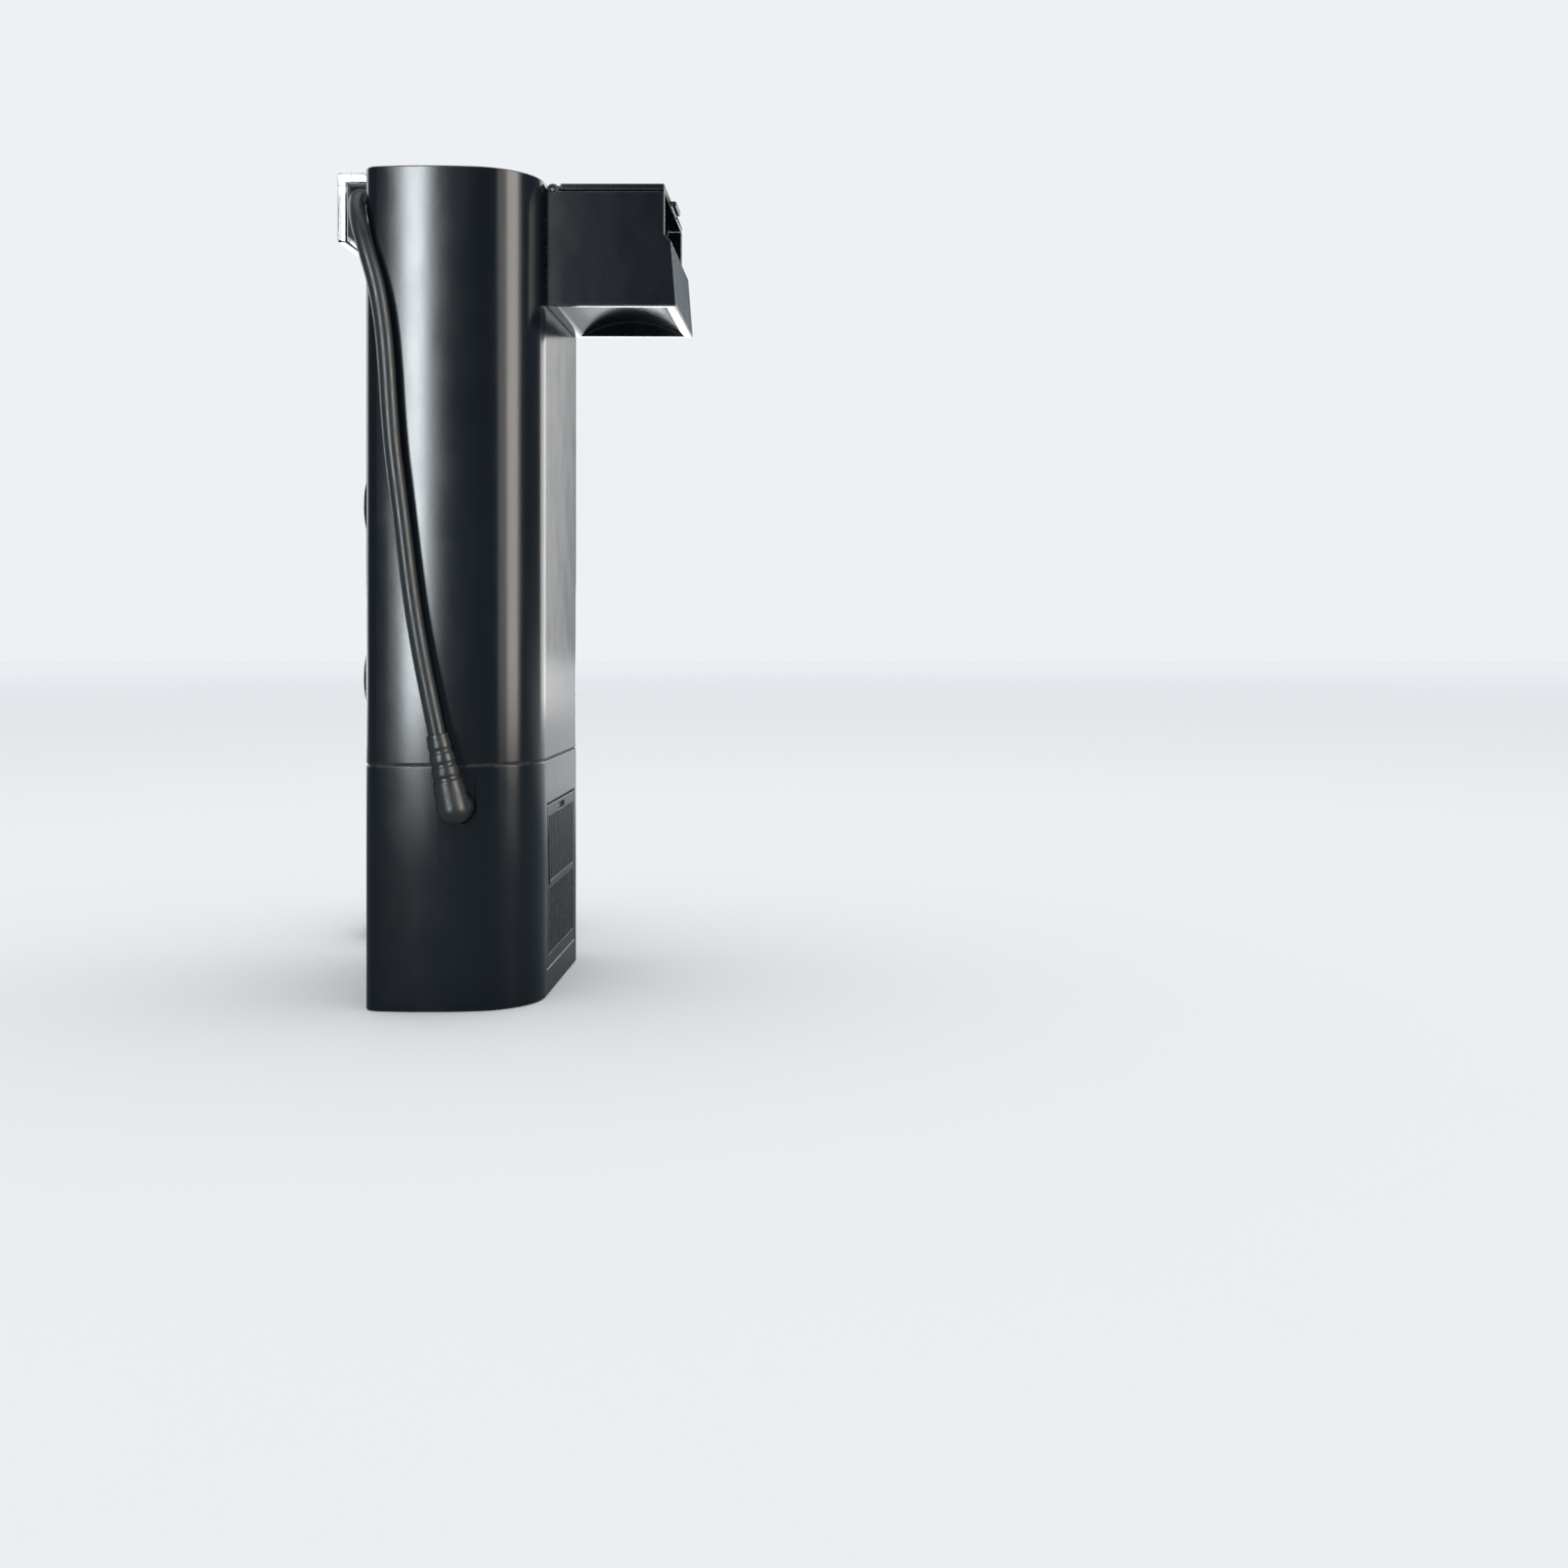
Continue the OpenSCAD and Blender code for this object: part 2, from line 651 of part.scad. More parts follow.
function unit(v) = v / norm(v);
function tangent(p, i) = unit(p[min(i + 1, len(p) - 1)] - p[max(i - 1, 0)]);
function tube_points(p, r, sides, ref) = [for (i = [0 : len(p) - 1])
  let (t = tangent(p, i), u = unit(cross(t, ref)), v = cross(t, u))
  for (k = [0 : sides - 1]) p[i] + r * (cos(360 * k / sides) * u + sin(360 * k / sides) * v)];
function tube_faces(rings, sides) = concat(
  [[for (k = [0 : sides - 1]) k]],
  [for (i = [0 : rings - 2], k = [0 : sides - 1])
    let (a = i * sides + k, b = i * sides + (k + 1) % sides) [a, a + sides, b]],
  [for (i = [0 : rings - 2], k = [0 : sides - 1])
    let (a = i * sides + k, b = i * sides + (k + 1) % sides) [b, a + sides, b + sides]],
  [[for (k = [sides - 1 : -1 : 0]) (rings - 1) * sides + k]]);

module tube(p, r, sides, ref) {
  polyhedron(tube_points(p, r, sides, ref), tube_faces(len(p), sides));
}

module power_cord() {
  color(rubber) tube(route, cord_r, 8, [1, 0, 0]);
}

module cable_gland() {
  lean = atan2(gland_x - gland_top[0], gland_top[2] - gland_z);
  sleeve = norm(gland_top - elbow);
  color(rubber) {
    along_y(gland_x, gland_z, -body_y / 2 + 3.5, -body_y / 2 + 4, 3);
    along_y(gland_x, gland_z, elbow[1], -body_y / 2 + 3.6, gland_r);
    translate(elbow) sphere(r = gland_r);
    translate(elbow) rotate([0, -lean, 0]) cylinder(h = sleeve, r1 = gland_r, r2 = 3.1);
  }
}

module cord_clip(at, turn) {
  clip_r = 4;
  hold_r = cord_r + 0.2;
  translate(at) rotate(turn) color(black) difference() {
    union() {
      cylinder(h = 5, r = clip_r, center = true);
      translate([0, -3, -2.5]) cube([back_x - at[0], 6, 5]);
    }
    cylinder(h = 6, r = hold_r, center = true);
    translate([-clip_r - eps, -1.9, -3]) cube([clip_r + eps, 3.8, 6]);
  }
}

module cord_clips() {
  cord_clip([-29, -21, 240.8], [90, 0, 0]);
  cord_clip([-29, 38, 180], [0, 0, 0]);
}

module cord_coil() {
  color(rubber) translate([coil_c[0], coil_c[1], coil_z[0]]) rotate_extrude($fn = 72)
    translate([coil_r - coil_half, 0]) square([2 * coil_half, coil_z[1] - coil_z[0]]);
}

module cord_tail() {
  color(rubber) tube(tail, cord_r, 8, [0, 0, 1]);
}

module cord_tie() {
  width = 5;
  low = [coil_c[0] - width / 2, coil_c[1] + coil_r - coil_half - 1.2, 0];
  high = [coil_c[0] + width / 2, coil_c[1] + coil_r + coil_half + 1, coil_z[1] + 1];
  color(black) difference() {
    span(low, high);
    span([low[0] - eps, low[1] + 0.8, coil_z[0]], [high[0] + eps, high[1] - 0.8, coil_z[1] + 0.2]);
  }
}

plug_c = [tail[8][0], 106.7, coil_z[1]];  // middle of the plug's rear face, on the coil
plug_size = [24, 30, 14];

module plug_body() {
  color(rubber) {
    span([plug_c[0] - plug_size[0] / 2, plug_c[1], plug_c[2]],
      [plug_c[0] + plug_size[0] / 2, plug_c[1] + plug_size[1], plug_c[2] + plug_size[2]]);
    translate([tail[8][0], tail[8][1], tail_z])
      rotate([-90 + atan2(plug_size[2] / 2 - cord_r, plug_c[1] - tail[8][1]), 0, 0])
        cylinder(h = plug_c[1] - tail[8][1] + 1.2, r1 = 2.9, r2 = 4.6);
  }
}

module plug_pins() {
  y0 = plug_c[1] + plug_size[1];
  z = plug_c[2] + plug_size[2] / 2;
  color([0.80, 0.66, 0.38]) for (s = [-1, 1]) difference() {
    span([plug_c[0] + s * 6.35 - 0.75, y0, z - 3.1], [plug_c[0] + s * 6.35 + 0.75, y0 + 17, z + 3.1]);
    along_x(y0 + 13.5, z, plug_c[0] + s * 6.35 - 2, plug_c[0] + s * 6.35 + 2, 1.4);
  }
}

main_housing();
lower_casing();
seam_gasket();
chamber_floor();
casing_screws();
spout_trough();
spout_hinge_pin();
spout_cover();
weir_comb();
media_basket();
basket_lid();
lift_handle();
tier_divider_lower();
tier_divider_upper();
ceramic_rings();
carbon_cassette();
carbon_fill();
foam_block();
motor_can();
motor_end_cap();
stator_core();
coil_windings();
inner_lead();
pump_feet();
rotor_magnet();
impeller();
impeller_shaft();
shaft_bush_rear();
shaft_bush_front();
volute();
volute_cover();
flow_dial();
outlet_oring();
intake_strainer();
prefilter_foam();
hanger_bracket();
rim_pad();
suction_cup_upper();
suction_cup_lower();
level_screw();
level_pad();
cable_gland();
cord_clips();
power_cord();
cord_coil();
cord_tail();
cord_tie();
plug_body();
plug_pins();
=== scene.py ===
"""Looks of a hang-on aquarium filter column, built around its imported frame. Metres, +Z up."""

import json
import math
import random

import bmesh
import bpy
from mathutils import Matrix, Vector, noise
from mathutils.bvhtree import BVHTree

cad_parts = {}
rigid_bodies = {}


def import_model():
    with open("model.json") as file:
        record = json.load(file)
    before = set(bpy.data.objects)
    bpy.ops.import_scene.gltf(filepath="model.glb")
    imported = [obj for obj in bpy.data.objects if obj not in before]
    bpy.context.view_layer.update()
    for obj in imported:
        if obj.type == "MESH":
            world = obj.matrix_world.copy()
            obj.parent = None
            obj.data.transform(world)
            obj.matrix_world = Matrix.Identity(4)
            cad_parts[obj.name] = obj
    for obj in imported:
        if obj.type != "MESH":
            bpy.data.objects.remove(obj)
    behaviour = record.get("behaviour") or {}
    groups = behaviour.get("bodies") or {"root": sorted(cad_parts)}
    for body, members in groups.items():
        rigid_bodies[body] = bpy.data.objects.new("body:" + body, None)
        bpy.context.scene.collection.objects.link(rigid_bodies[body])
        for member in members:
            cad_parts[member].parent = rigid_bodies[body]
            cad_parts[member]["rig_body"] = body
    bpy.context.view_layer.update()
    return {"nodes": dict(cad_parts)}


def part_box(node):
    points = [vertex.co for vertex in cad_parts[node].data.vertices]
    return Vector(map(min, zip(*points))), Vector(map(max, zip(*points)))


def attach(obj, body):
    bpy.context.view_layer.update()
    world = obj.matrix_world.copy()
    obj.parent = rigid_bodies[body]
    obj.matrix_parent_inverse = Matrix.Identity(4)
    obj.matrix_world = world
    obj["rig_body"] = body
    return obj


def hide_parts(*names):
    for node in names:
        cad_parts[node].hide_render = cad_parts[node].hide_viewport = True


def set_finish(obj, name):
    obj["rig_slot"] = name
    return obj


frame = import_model()
nodes = frame["nodes"]
MM = 0.001


def mm(*values):
    """Millimetres as a vector in metres."""
    return Vector(values) * MM


def new_object(name, data):
    """An object in the scene with this mesh, light or camera."""
    obj = bpy.data.objects.new(name, data)
    bpy.context.scene.collection.objects.link(obj)
    return obj


# ---------------------------------------------------------------- camera
CAMERA_AT = (0.1153, -0.562, 0.1104)
CAMERA_SHIFT = (-0.03875, -0.0969)
CAMERA_LENS = 40.5


def make_camera():
    """Level camera in front of the column's -Y side, a little to the right of it."""
    data = bpy.data.cameras.new("camera")
    data.lens = CAMERA_LENS
    data.sensor_width = 36
    data.shift_x, data.shift_y = CAMERA_SHIFT
    camera = new_object("camera", data)
    camera.location = CAMERA_AT
    camera.rotation_euler = (math.pi / 2, 0, 0)
    bpy.context.scene.camera = camera


# ---------------------------------------------------------------- mesh helpers
SMOOTH_ANGLE = math.radians(32)


def new_mesh(name, verts, faces):
    """A mesh whose faces all look outwards."""
    mesh = bpy.data.meshes.new(name)
    mesh.from_pydata([tuple(v) for v in verts], [], faces)
    bm = bmesh.new()
    bm.from_mesh(mesh)
    bmesh.ops.recalc_face_normals(bm, faces=bm.faces)
    bm.to_mesh(mesh)
    bm.free()
    return mesh


def applied_mesh(obj):
    """An object's mesh with its modifiers applied."""
    bpy.context.view_layer.update()
    depsgraph = bpy.context.evaluated_depsgraph_get()
    return bpy.data.meshes.new_from_object(obj.evaluated_get(depsgraph))


def remeshed(name, mesh, voxel, soften=0):
    """A mesh rebuilt in even cells of this size in mm, then smoothed if asked."""
    rough = new_object(name, mesh)
    remesh = rough.modifiers.new("cells", "REMESH")
    remesh.mode = "VOXEL"
    remesh.voxel_size = voxel * MM
    if soften:
        smooth = rough.modifiers.new("soften", "SMOOTH")
        smooth.iterations = soften
    final = applied_mesh(rough)
    bpy.data.objects.remove(rough)
    return final


def piece(name, verts, faces, look, body, replaces=(), smooth=SMOOTH_ANGLE):
    """A new mesh piece with its look, on a CAD body."""
    return dress(name, new_mesh(name, verts, faces), look, body, replaces, smooth)


def dress(name, mesh, look, body, replaces=(), smooth=SMOOTH_ANGLE):
    """Shades a mesh, gives it a look (slot, material), and rides it on a body."""
    slot, material = look
    mesh.shade_smooth()
    mesh.set_sharp_from_angle(angle=smooth)
    mesh.materials.clear()
    mesh.materials.append(material)
    obj = new_object(name, mesh)
    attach(obj, body)
    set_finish(obj, slot)
    if replaces:
        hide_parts(*replaces)
    return obj


def joined(parts):
    """One list of vertices and one of faces from several (verts, faces) pairs."""
    verts, faces = [], []
    for part_verts, part_faces in parts:
        first = len(verts)
        verts += part_verts
        faces += [[first + i for i in f] for f in part_faces]
    return verts, faces


def rings_to_faces(rings, sides, closed=False):
    """Quads between neighbouring rings of points, and a cap on each open end."""
    faces = []
    for i in range(rings if closed else rings - 1):
        a, b = i * sides, (i + 1) % rings * sides
        for k in range(sides):
            m = (k + 1) % sides
            faces.append([a + k, a + m, b + m, b + k])
    if not closed:
        faces.append(list(range(sides))[::-1])
        faces.append([(rings - 1) * sides + k for k in range(sides)])
    return faces


def tube(path, radius, sides):
    """A round tube along a path, without twist. radius is a number or one number per point."""
    radii = radius if isinstance(radius, list) else [radius] * len(path)
    befores, afters = [path[0], *path[:-1]], [*path[1:], path[-1]]
    tangents = [(after - before).normalized() for before, after in zip(befores, afters)]
    side = tangents[0].orthogonal().normalized()
    verts = []
    for point, tangent, r in zip(path, tangents, radii):
        side = (side - tangent * side.dot(tangent)).normalized()
        up = tangent.cross(side)
        for k in range(sides):
            a = 2 * math.pi * k / sides
            verts.append(point + r * (math.cos(a) * side + math.sin(a) * up))
    return verts, rings_to_faces(len(path), sides)


def spokes(axis, sides):
    """Unit vectors all round an axis."""
    side = axis.orthogonal().normalized()
    up = axis.cross(side)
    angles = [2 * math.pi * k / sides for k in range(sides)]
    return [math.cos(a) * side + math.sin(a) * up for a in angles]


def lathe(profile, origin, axis, sides=48):
    """Turns a profile of (distance along the axis, radius) points; its ends are capped."""
    axis = Vector(axis)
    around = spokes(axis, sides)
    verts = [origin + along * axis + r * out for along, r in profile for out in around]
    return verts, rings_to_faces(len(profile), sides)


def loop_lathe(profile, origin, axis, sides):
    """Turns a closed profile round an axis, as for a ring."""
    axis = Vector(axis)
    around = spokes(axis, sides)
    verts = [origin + along * axis + r * out for out in around for along, r in profile]
    return verts, rings_to_faces(sides, len(profile), closed=True)


def smooth_path(points, steps):
    """A smooth line through the points (Catmull-Rom)."""
    ends = [2 * points[0] - points[1], *points, 2 * points[-1] - points[-2]]
    line = []
    for a, b, c, d in zip(ends, ends[1:], ends[2:], ends[3:]):
        for i in range(steps):
            t = i / steps
            line.append(0.5 * (2 * b + t * (c - a) + t * t * (2 * a - 5 * b + 4 * c - d)
                               + t ** 3 * (3 * b - a - 3 * c + d)))
    return [*line, points[-1]]


def cad_mesh(node):
    """A bmesh copy of a CAD node: corners joined and flat faces whole."""
    bm = bmesh.new()
    bm.from_mesh(nodes[node].data)
    bmesh.ops.remove_doubles(bm, verts=bm.verts, dist=2e-6)
    bmesh.ops.dissolve_limit(bm, angle_limit=math.radians(0.4), verts=bm.verts, edges=bm.edges)
    return bm


def plain_mesh(bm, name):
    """A mesh from a bmesh copy of a CAD node, without the CAD's own shading."""
    bmesh.ops.recalc_face_normals(bm, faces=bm.faces)
    mesh = bpy.data.meshes.new(name)
    bm.to_mesh(mesh)
    bm.free()
    for key in ("custom_normal", "sharp_edge", "sharp_face"):
        if key in mesh.attributes:
            mesh.attributes.remove(mesh.attributes[key])
    return mesh


def round_edges(obj, width, segments):
    """Rounds an object's sharp edges and keeps its large faces flat to the eye."""
    bevel = obj.modifiers.new("edges", "BEVEL")
    bevel.width = width * MM
    bevel.segments = segments
    bevel.limit_method = "ANGLE"
    bevel.angle_limit = SMOOTH_ANGLE
    bevel.use_clamp_overlap = False
    worn = WORN.get(obj["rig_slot"])
    if worn:
        obj.data.materials.append(worn)
        bevel.material = 1
    normals = obj.modifiers.new("normals", "WEIGHTED_NORMAL")
    normals.weight = 100
    normals.keep_sharp = False


def rounded(node, look, width, segments=2):
    """A CAD node's own shape with its sharp edges rounded, on the node's body."""
    name = node + "_piece"
    obj = dress(name, plain_mesh(cad_mesh(node), name), look, nodes[node]["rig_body"], (node, ))
    if width:
        round_edges(obj, width, segments)
    return obj


# ---------------------------------------------------------------- materials
class Shader:
    """A principled material whose nodes are added one at a time."""

    def __init__(self, name, color, rough, metallic=0.0):
        self.material = bpy.data.materials.new(name)
        self.material.use_nodes = True
        self.tree = self.material.node_tree
        self.bsdf = self.tree.nodes["Principled BSDF"]
        self.bsdf.inputs["Base Color"].default_value = (*color, 1)
        self.bsdf.inputs["Roughness"].default_value = rough
        self.bsdf.inputs["Metallic"].default_value = metallic
        self.place = self.add("ShaderNodeTexCoord").outputs["Object"]
        self.color = color

    def add(self, kind, **settings):
        """A new shader node with these settings."""
        node = self.tree.nodes.new(kind)
        for key, value in settings.items():
            setattr(node, key, value)
        return node

    def link(self, out, socket):
        """Joins an output to an input."""
        self.tree.links.new(out, socket)

    def noise(self, scale, detail=4.0, stretch=(1, 1, 1)):
        """Noise with features of about 1/scale metres, stretched along the axes."""
        mapping = self.add("ShaderNodeMapping")
        mapping.inputs["Scale"].default_value = stretch
        texture = self.add("ShaderNodeTexNoise")
        texture.inputs["Scale"].default_value = scale
        texture.inputs["Detail"].default_value = detail
        self.link(self.place, mapping.inputs["Vector"])
        self.link(mapping.outputs["Vector"], texture.inputs["Vector"])
        return texture.outputs["Fac"]

    def cells(self, scale):
        """The distance from the middle of the nearest cell."""
        texture = self.add("ShaderNodeTexVoronoi")
        texture.inputs["Scale"].default_value = scale
        self.link(self.place, texture.inputs["Vector"])
        return texture.outputs["Distance"]

    def bands(self, scale, direction):
        """Slightly wavy bands across an axis."""
        texture = self.add("ShaderNodeTexWave", bands_direction=direction)
        texture.inputs["Scale"].default_value = scale
        texture.inputs["Distortion"].default_value = 0.6
        self.link(self.place, texture.inputs["Vector"])
        return texture.outputs["Fac"]

    def remap(self, fac, low, high, start=0.3, end=0.7):
        """Spreads a 0 to 1 value between two numbers."""
        node = self.add("ShaderNodeMapRange")
        sockets = ("From Min", "From Max", "To Min", "To Max")
        for socket, value in zip(sockets, (start, end, low, high)):
            node.inputs[socket].default_value = value
        self.link(fac, node.inputs["Value"])
        return node.outputs["Result"]

    def tint(self, fac, low, high, start=0.3, end=0.7):
        """Colours between two multiples of the base colour, or between two colours."""
        ramp = self.add("ShaderNodeValToRGB")
        for stop, at, value in zip(ramp.color_ramp.elements, (start, end), (low, high)):
            stop.position = at
            own = hasattr(value, "__len__")
            stop.color = (*value, 1) if own else (*(c * value for c in self.color), 1)
        self.link(fac, ramp.inputs["Fac"])
        return ramp.outputs["Color"]

    def bump(self, height, distance, strength=1.0, under=None):
        """A bump of this depth in mm, over another one if given."""
        node = self.add("ShaderNodeBump")
        node.inputs["Distance"].default_value = distance * MM
        node.inputs["Strength"].default_value = strength
        self.link(height, node.inputs["Height"])
        if under:
            self.link(under, node.inputs["Normal"])
        return node.outputs["Normal"]

    def done(self, color=None, rough=None, normal=None):
        """Links what is given and returns the material."""
        for out, socket in ((color, "Base Color"), (rough, "Roughness"), (normal, "Normal")):
            if out:
                self.link(out, self.bsdf.inputs[socket])
        return self.material


def gloss_plastic(name, color, rough, shine=0.42):
    """High-gloss moulded plastic: orange peel, upright flow lines, faint rubbed patches."""
    s = Shader(name, color, rough)
    s.bsdf.inputs["Specular IOR Level"].default_value = shine
    clouds = s.noise(35, 5, (1, 1, 0.35))
    flow = s.noise(260, 3, (1, 1, 0.03))
    peel = s.noise(420, 2)
    grain = s.noise(5200, 2)
    base = s.tint(clouds, 0.8, 1.25)
    under = s.bump(flow, 0.006, 0.5)
    under = s.bump(peel, 0.012, 0.5, under)
    return s.done(base, s.remap(s.noise(120, 8, (1, 1, 0.5)), rough * 0.9, rough * 1.15),
                  s.bump(grain, 0.004, 0.35, under))


def satin_plastic(name, color, rough, grain=0.03, shine=0.5):
    """Spark-eroded moulded plastic: fine even grain."""
    s = Shader(name, color, rough)
    s.bsdf.inputs["Specular IOR Level"].default_value = shine
    clouds = s.noise(60, 5)
    pits = s.noise(2600, 4)
    base = s.tint(clouds, 0.9, 1.1)
    return s.done(base, s.remap(s.noise(700, 6), rough * 0.9, rough * 1.1),
                  s.bump(pits, grain, 0.8))


def worn_edge(name, color, rough):
    """The rubbed look of a moulding's edges: a little lighter, with small dull nicks."""
    s = Shader(name, color, rough)
    nicks = s.noise(900, 8)
    return s.done(s.tint(nicks, 0.8, 1.8, 0.4, 0.75), s.remap(nicks, rough * 0.9, rough * 1.5),
                  s.bump(nicks, 0.01, 0.4))


def rubber(name, color, rough, sheen=0.1):
    """Moulded rubber, dull and slightly dusty."""
    s = Shader(name, color, rough)
    s.bsdf.inputs["Sheen Weight"].default_value = sheen
    base = s.tint(s.noise(150, 6), 0.75, 1.35)
    return s.done(base, s.remap(s.noise(700, 5), rough * 0.85, rough * 1.15),
                  s.bump(s.noise(1800, 5), 0.03, 0.7))


def cord_jacket(name, color):
    """Extruded PVC: long faint draw lines and small dull patches."""
    s = Shader(name, color, 0.36)
    base = s.tint(s.noise(90, 5), 0.8, 1.3)
    return s.done(base, s.remap(s.noise(260, 6), 0.3, 0.46), s.bump(s.noise(1400, 4), 0.02, 0.7))


def ceramic(name, color, rough, pit):
    """Fired ceramic with pits of this depth in mm."""
    s = Shader(name, color, rough)
    spots = s.cells(900)
    base = s.tint(s.noise(220, 8), (0.62, 0.57, 0.49), (0.86, 0.83, 0.76))
    under = s.bump(s.noise(1500, 8), pit, 0.9)
    return s.done(base, None, s.bump(spots, pit, 0.6, under))


def foam(name, color):
    """Open-cell foam: pores darkened with painted shade between struts lightened with painted
    light.
    """
    s = Shader(name, color, 0.95)
    s.bsdf.inputs["Sheen Weight"].default_value = 0.25
    pores = s.cells(620)
    # painted shade in the pores and painted light on the struts: the colour runs from a quarter to
    # one and a half times the base
    base = s.tint(pores, 0.25, 1.5, 0.1, 0.75)
    return s.done(base, None, s.bump(pores, 0.5, 1.0, s.bump(s.noise(1500, 6), 0.15, 0.8)))


def stone(name, color, rough, painted_glint):
    """Broken mineral with lighter patches painted in as glints, a painted highlight."""
    s = Shader(name, color, rough)
    # painted highlight: random lighter patches, up to the glint factor times the base colour
    base = s.tint(s.noise(900, 8), 0.6, painted_glint)
    return s.done(base, s.remap(s.noise(1300, 6), rough * 0.6, rough * 1.1),
                  s.bump(s.noise(1600, 8), 0.08, 0.9))


def metal(name, color, rough, brushed=(1, 1, 1), banded=0.0):
    """Bare metal with brush lines along one axis, and sheet edges where banded."""
    s = Shader(name, color, rough, 1.0)
    lines = s.noise(1800, 4, brushed)
    base = s.tint(s.noise(300, 6), 0.78, 1.1)
    normal = s.bump(lines, 0.01, 0.6)
    if banded:
        normal = s.bump(s.bands(banded, "Y"), 0.12, 0.9, normal)
    return s.done(base, s.remap(lines, rough * 0.8, rough * 1.4), normal)


def clear_acrylic(name):
    """Clear moulded acrylic, polished, with faint handling marks."""
    s = Shader(name, (0.74, 0.8, 0.82), 0.06)
    s.bsdf.inputs["Transmission Weight"].default_value = 1.0
    s.bsdf.inputs["IOR"].default_value = 1.4
    s.bsdf.inputs["Specular IOR Level"].default_value = 0.06
    return s.done(None, s.remap(s.noise(60, 2), 0.02, 0.08, 0.35, 0.8),
                  s.bump(s.noise(90, 1), 0.02, 0.3))


FINISHES = {
    "housing_gloss": gloss_plastic("housing_gloss", (0.0042, 0.0072, 0.0112), 0.17),
    "casing_gloss": gloss_plastic("casing_gloss", (0.0042, 0.0074, 0.0114), 0.16),
    "spout_gloss": gloss_plastic("spout_gloss", (0.004, 0.0068, 0.0115), 0.14, 0.25),
    "lid_satin": satin_plastic("lid_satin", (0.016, 0.018, 0.021), 0.42),
    "trim_satin": satin_plastic("trim_satin", (0.014, 0.016, 0.019), 0.38),
    "pump_plastic": satin_plastic("pump_plastic", (0.03, 0.033, 0.037), 0.5, 0.05),
    "basket_smoke": satin_plastic("basket_smoke", (0.075, 0.086, 0.096), 0.42, 0.015, 0.22),
    "ceramic_white": ceramic("ceramic_white", (0.78, 0.74, 0.66), 0.92, 0.12),
    "shaft_ceramic": ceramic("shaft_ceramic", (0.86, 0.85, 0.82), 0.25, 0.004),
    "carbon": stone("carbon", (0.012, 0.012, 0.013), 0.6, 3.0),
    "foam_blue": foam("foam_blue", (0.045, 0.13, 0.3)),
    "foam_black": foam("foam_black", (0.02, 0.02, 0.023)),
    "rubber_black": rubber("rubber_black", (0.018, 0.018, 0.019), 0.6),
    "cup_rubber": rubber("cup_rubber", (0.028, 0.031, 0.035), 0.32, 0.3),
    "cord_black": cord_jacket("cord_black", (0.017, 0.02, 0.022)),
    "bracket_clear": clear_acrylic("bracket_clear"),
    "magnet": stone("magnet", (0.05, 0.05, 0.055), 0.5, 1.6),
    "impeller_white": satin_plastic("impeller_white", (0.7, 0.71, 0.72), 0.35, 0.01),
    "dial_red": satin_plastic("dial_red", (0.5, 0.035, 0.02), 0.38, 0.02),
    "steel": metal("steel", (0.6, 0.61, 0.62), 0.25, (1, 0.06, 1)),
    "pin_dark": metal("pin_dark", (0.07, 0.073, 0.078), 0.42, (1, 0.06, 1)),
    "lamination": metal("lamination", (0.34, 0.34, 0.36), 0.45, (1, 1, 0.1), 320),
    "copper": metal("copper", (0.75, 0.3, 0.12), 0.28),
    "plug_brass": metal("plug_brass", (0.74, 0.58, 0.3), 0.26, (1, 0.05, 1)),
}
# Edges that hands and tools rub: slot -> material of its rounded edges.
WORN = {
    "housing_gloss": worn_edge("housing_edge", (0.011, 0.013, 0.016), 0.24),
    "casing_gloss": worn_edge("casing_edge", (0.011, 0.013, 0.016), 0.24),
    "spout_gloss": worn_edge("spout_edge", (0.011, 0.013, 0.016), 0.22),
    "lid_satin": worn_edge("lid_edge", (0.028, 0.03, 0.033), 0.3),
    "trim_satin": worn_edge("trim_edge", (0.026, 0.028, 0.031), 0.3),
    "pump_plastic": worn_edge("pump_edge", (0.05, 0.053, 0.057), 0.4),
    "basket_smoke": worn_edge("basket_edge", (0.11, 0.12, 0.13), 0.3),
    "dial_red": worn_edge("dial_edge", (0.55, 0.07, 0.045), 0.34),
}


def finish(slot):
    """The pair (slot, material) that a piece takes."""
    return slot, FINISHES[slot]


# ---------------------------------------------------------------- cord
CORD_R = 2.5 * MM
COIL_LOW_Z = 2.9                # mm, middle of the cord in the coil's lowest turn
COIL_TOP_Z = 18.1               # mm, the same in its highest turn
ROUTE = [mm(*p) for p in (
    (-2, -54.6, 81), (-4.3, -54.6, 92), (-6.7, -54.5, 104), (-8.8, -54.3, 116),
    (-10.5, -54.2, 128), (-12, -54, 140), (-13.5, -54, 152), (-15, -53.8, 164),
    (-16, -53.6, 176), (-16.8, -53.5, 188), (-18, -53.4, 200), (-20, -53.2, 211),
    (-23, -52.3, 221), (-26, -49.5, 230), (-28, -44, 236.5), (-28.9, -36, 240),
    (-29, -27, 240.8), (-29, -16, 240.8), (-29, -4, 240.2), (-29, 8, 237.5),
    (-29, 19, 232), (-29, 28, 224), (-29, 34, 214), (-29, 37, 203),
    (-29, 38, 191), (-29, 38, 178), (-29, 38, 165), (-29, 38, 152),
    (-29, 38, 139), (-29, 38, 126), (-29, 38, 113), (-29, 38, 100),
    (-29, 38, 87), (-29, 38, 74), (-29, 38, 61), (-29, 38, 50),
    (-29, 38.5, 39), (-29, 40.3, 28.5), (-29.3, 44, 18.5), (-31, 50.5, 10.5),
    (-35, 57.5, 5.4), (-41, 64.4, 3.4), (-45, 68.4, 3), (-49.2, 72.6, 2.9))]
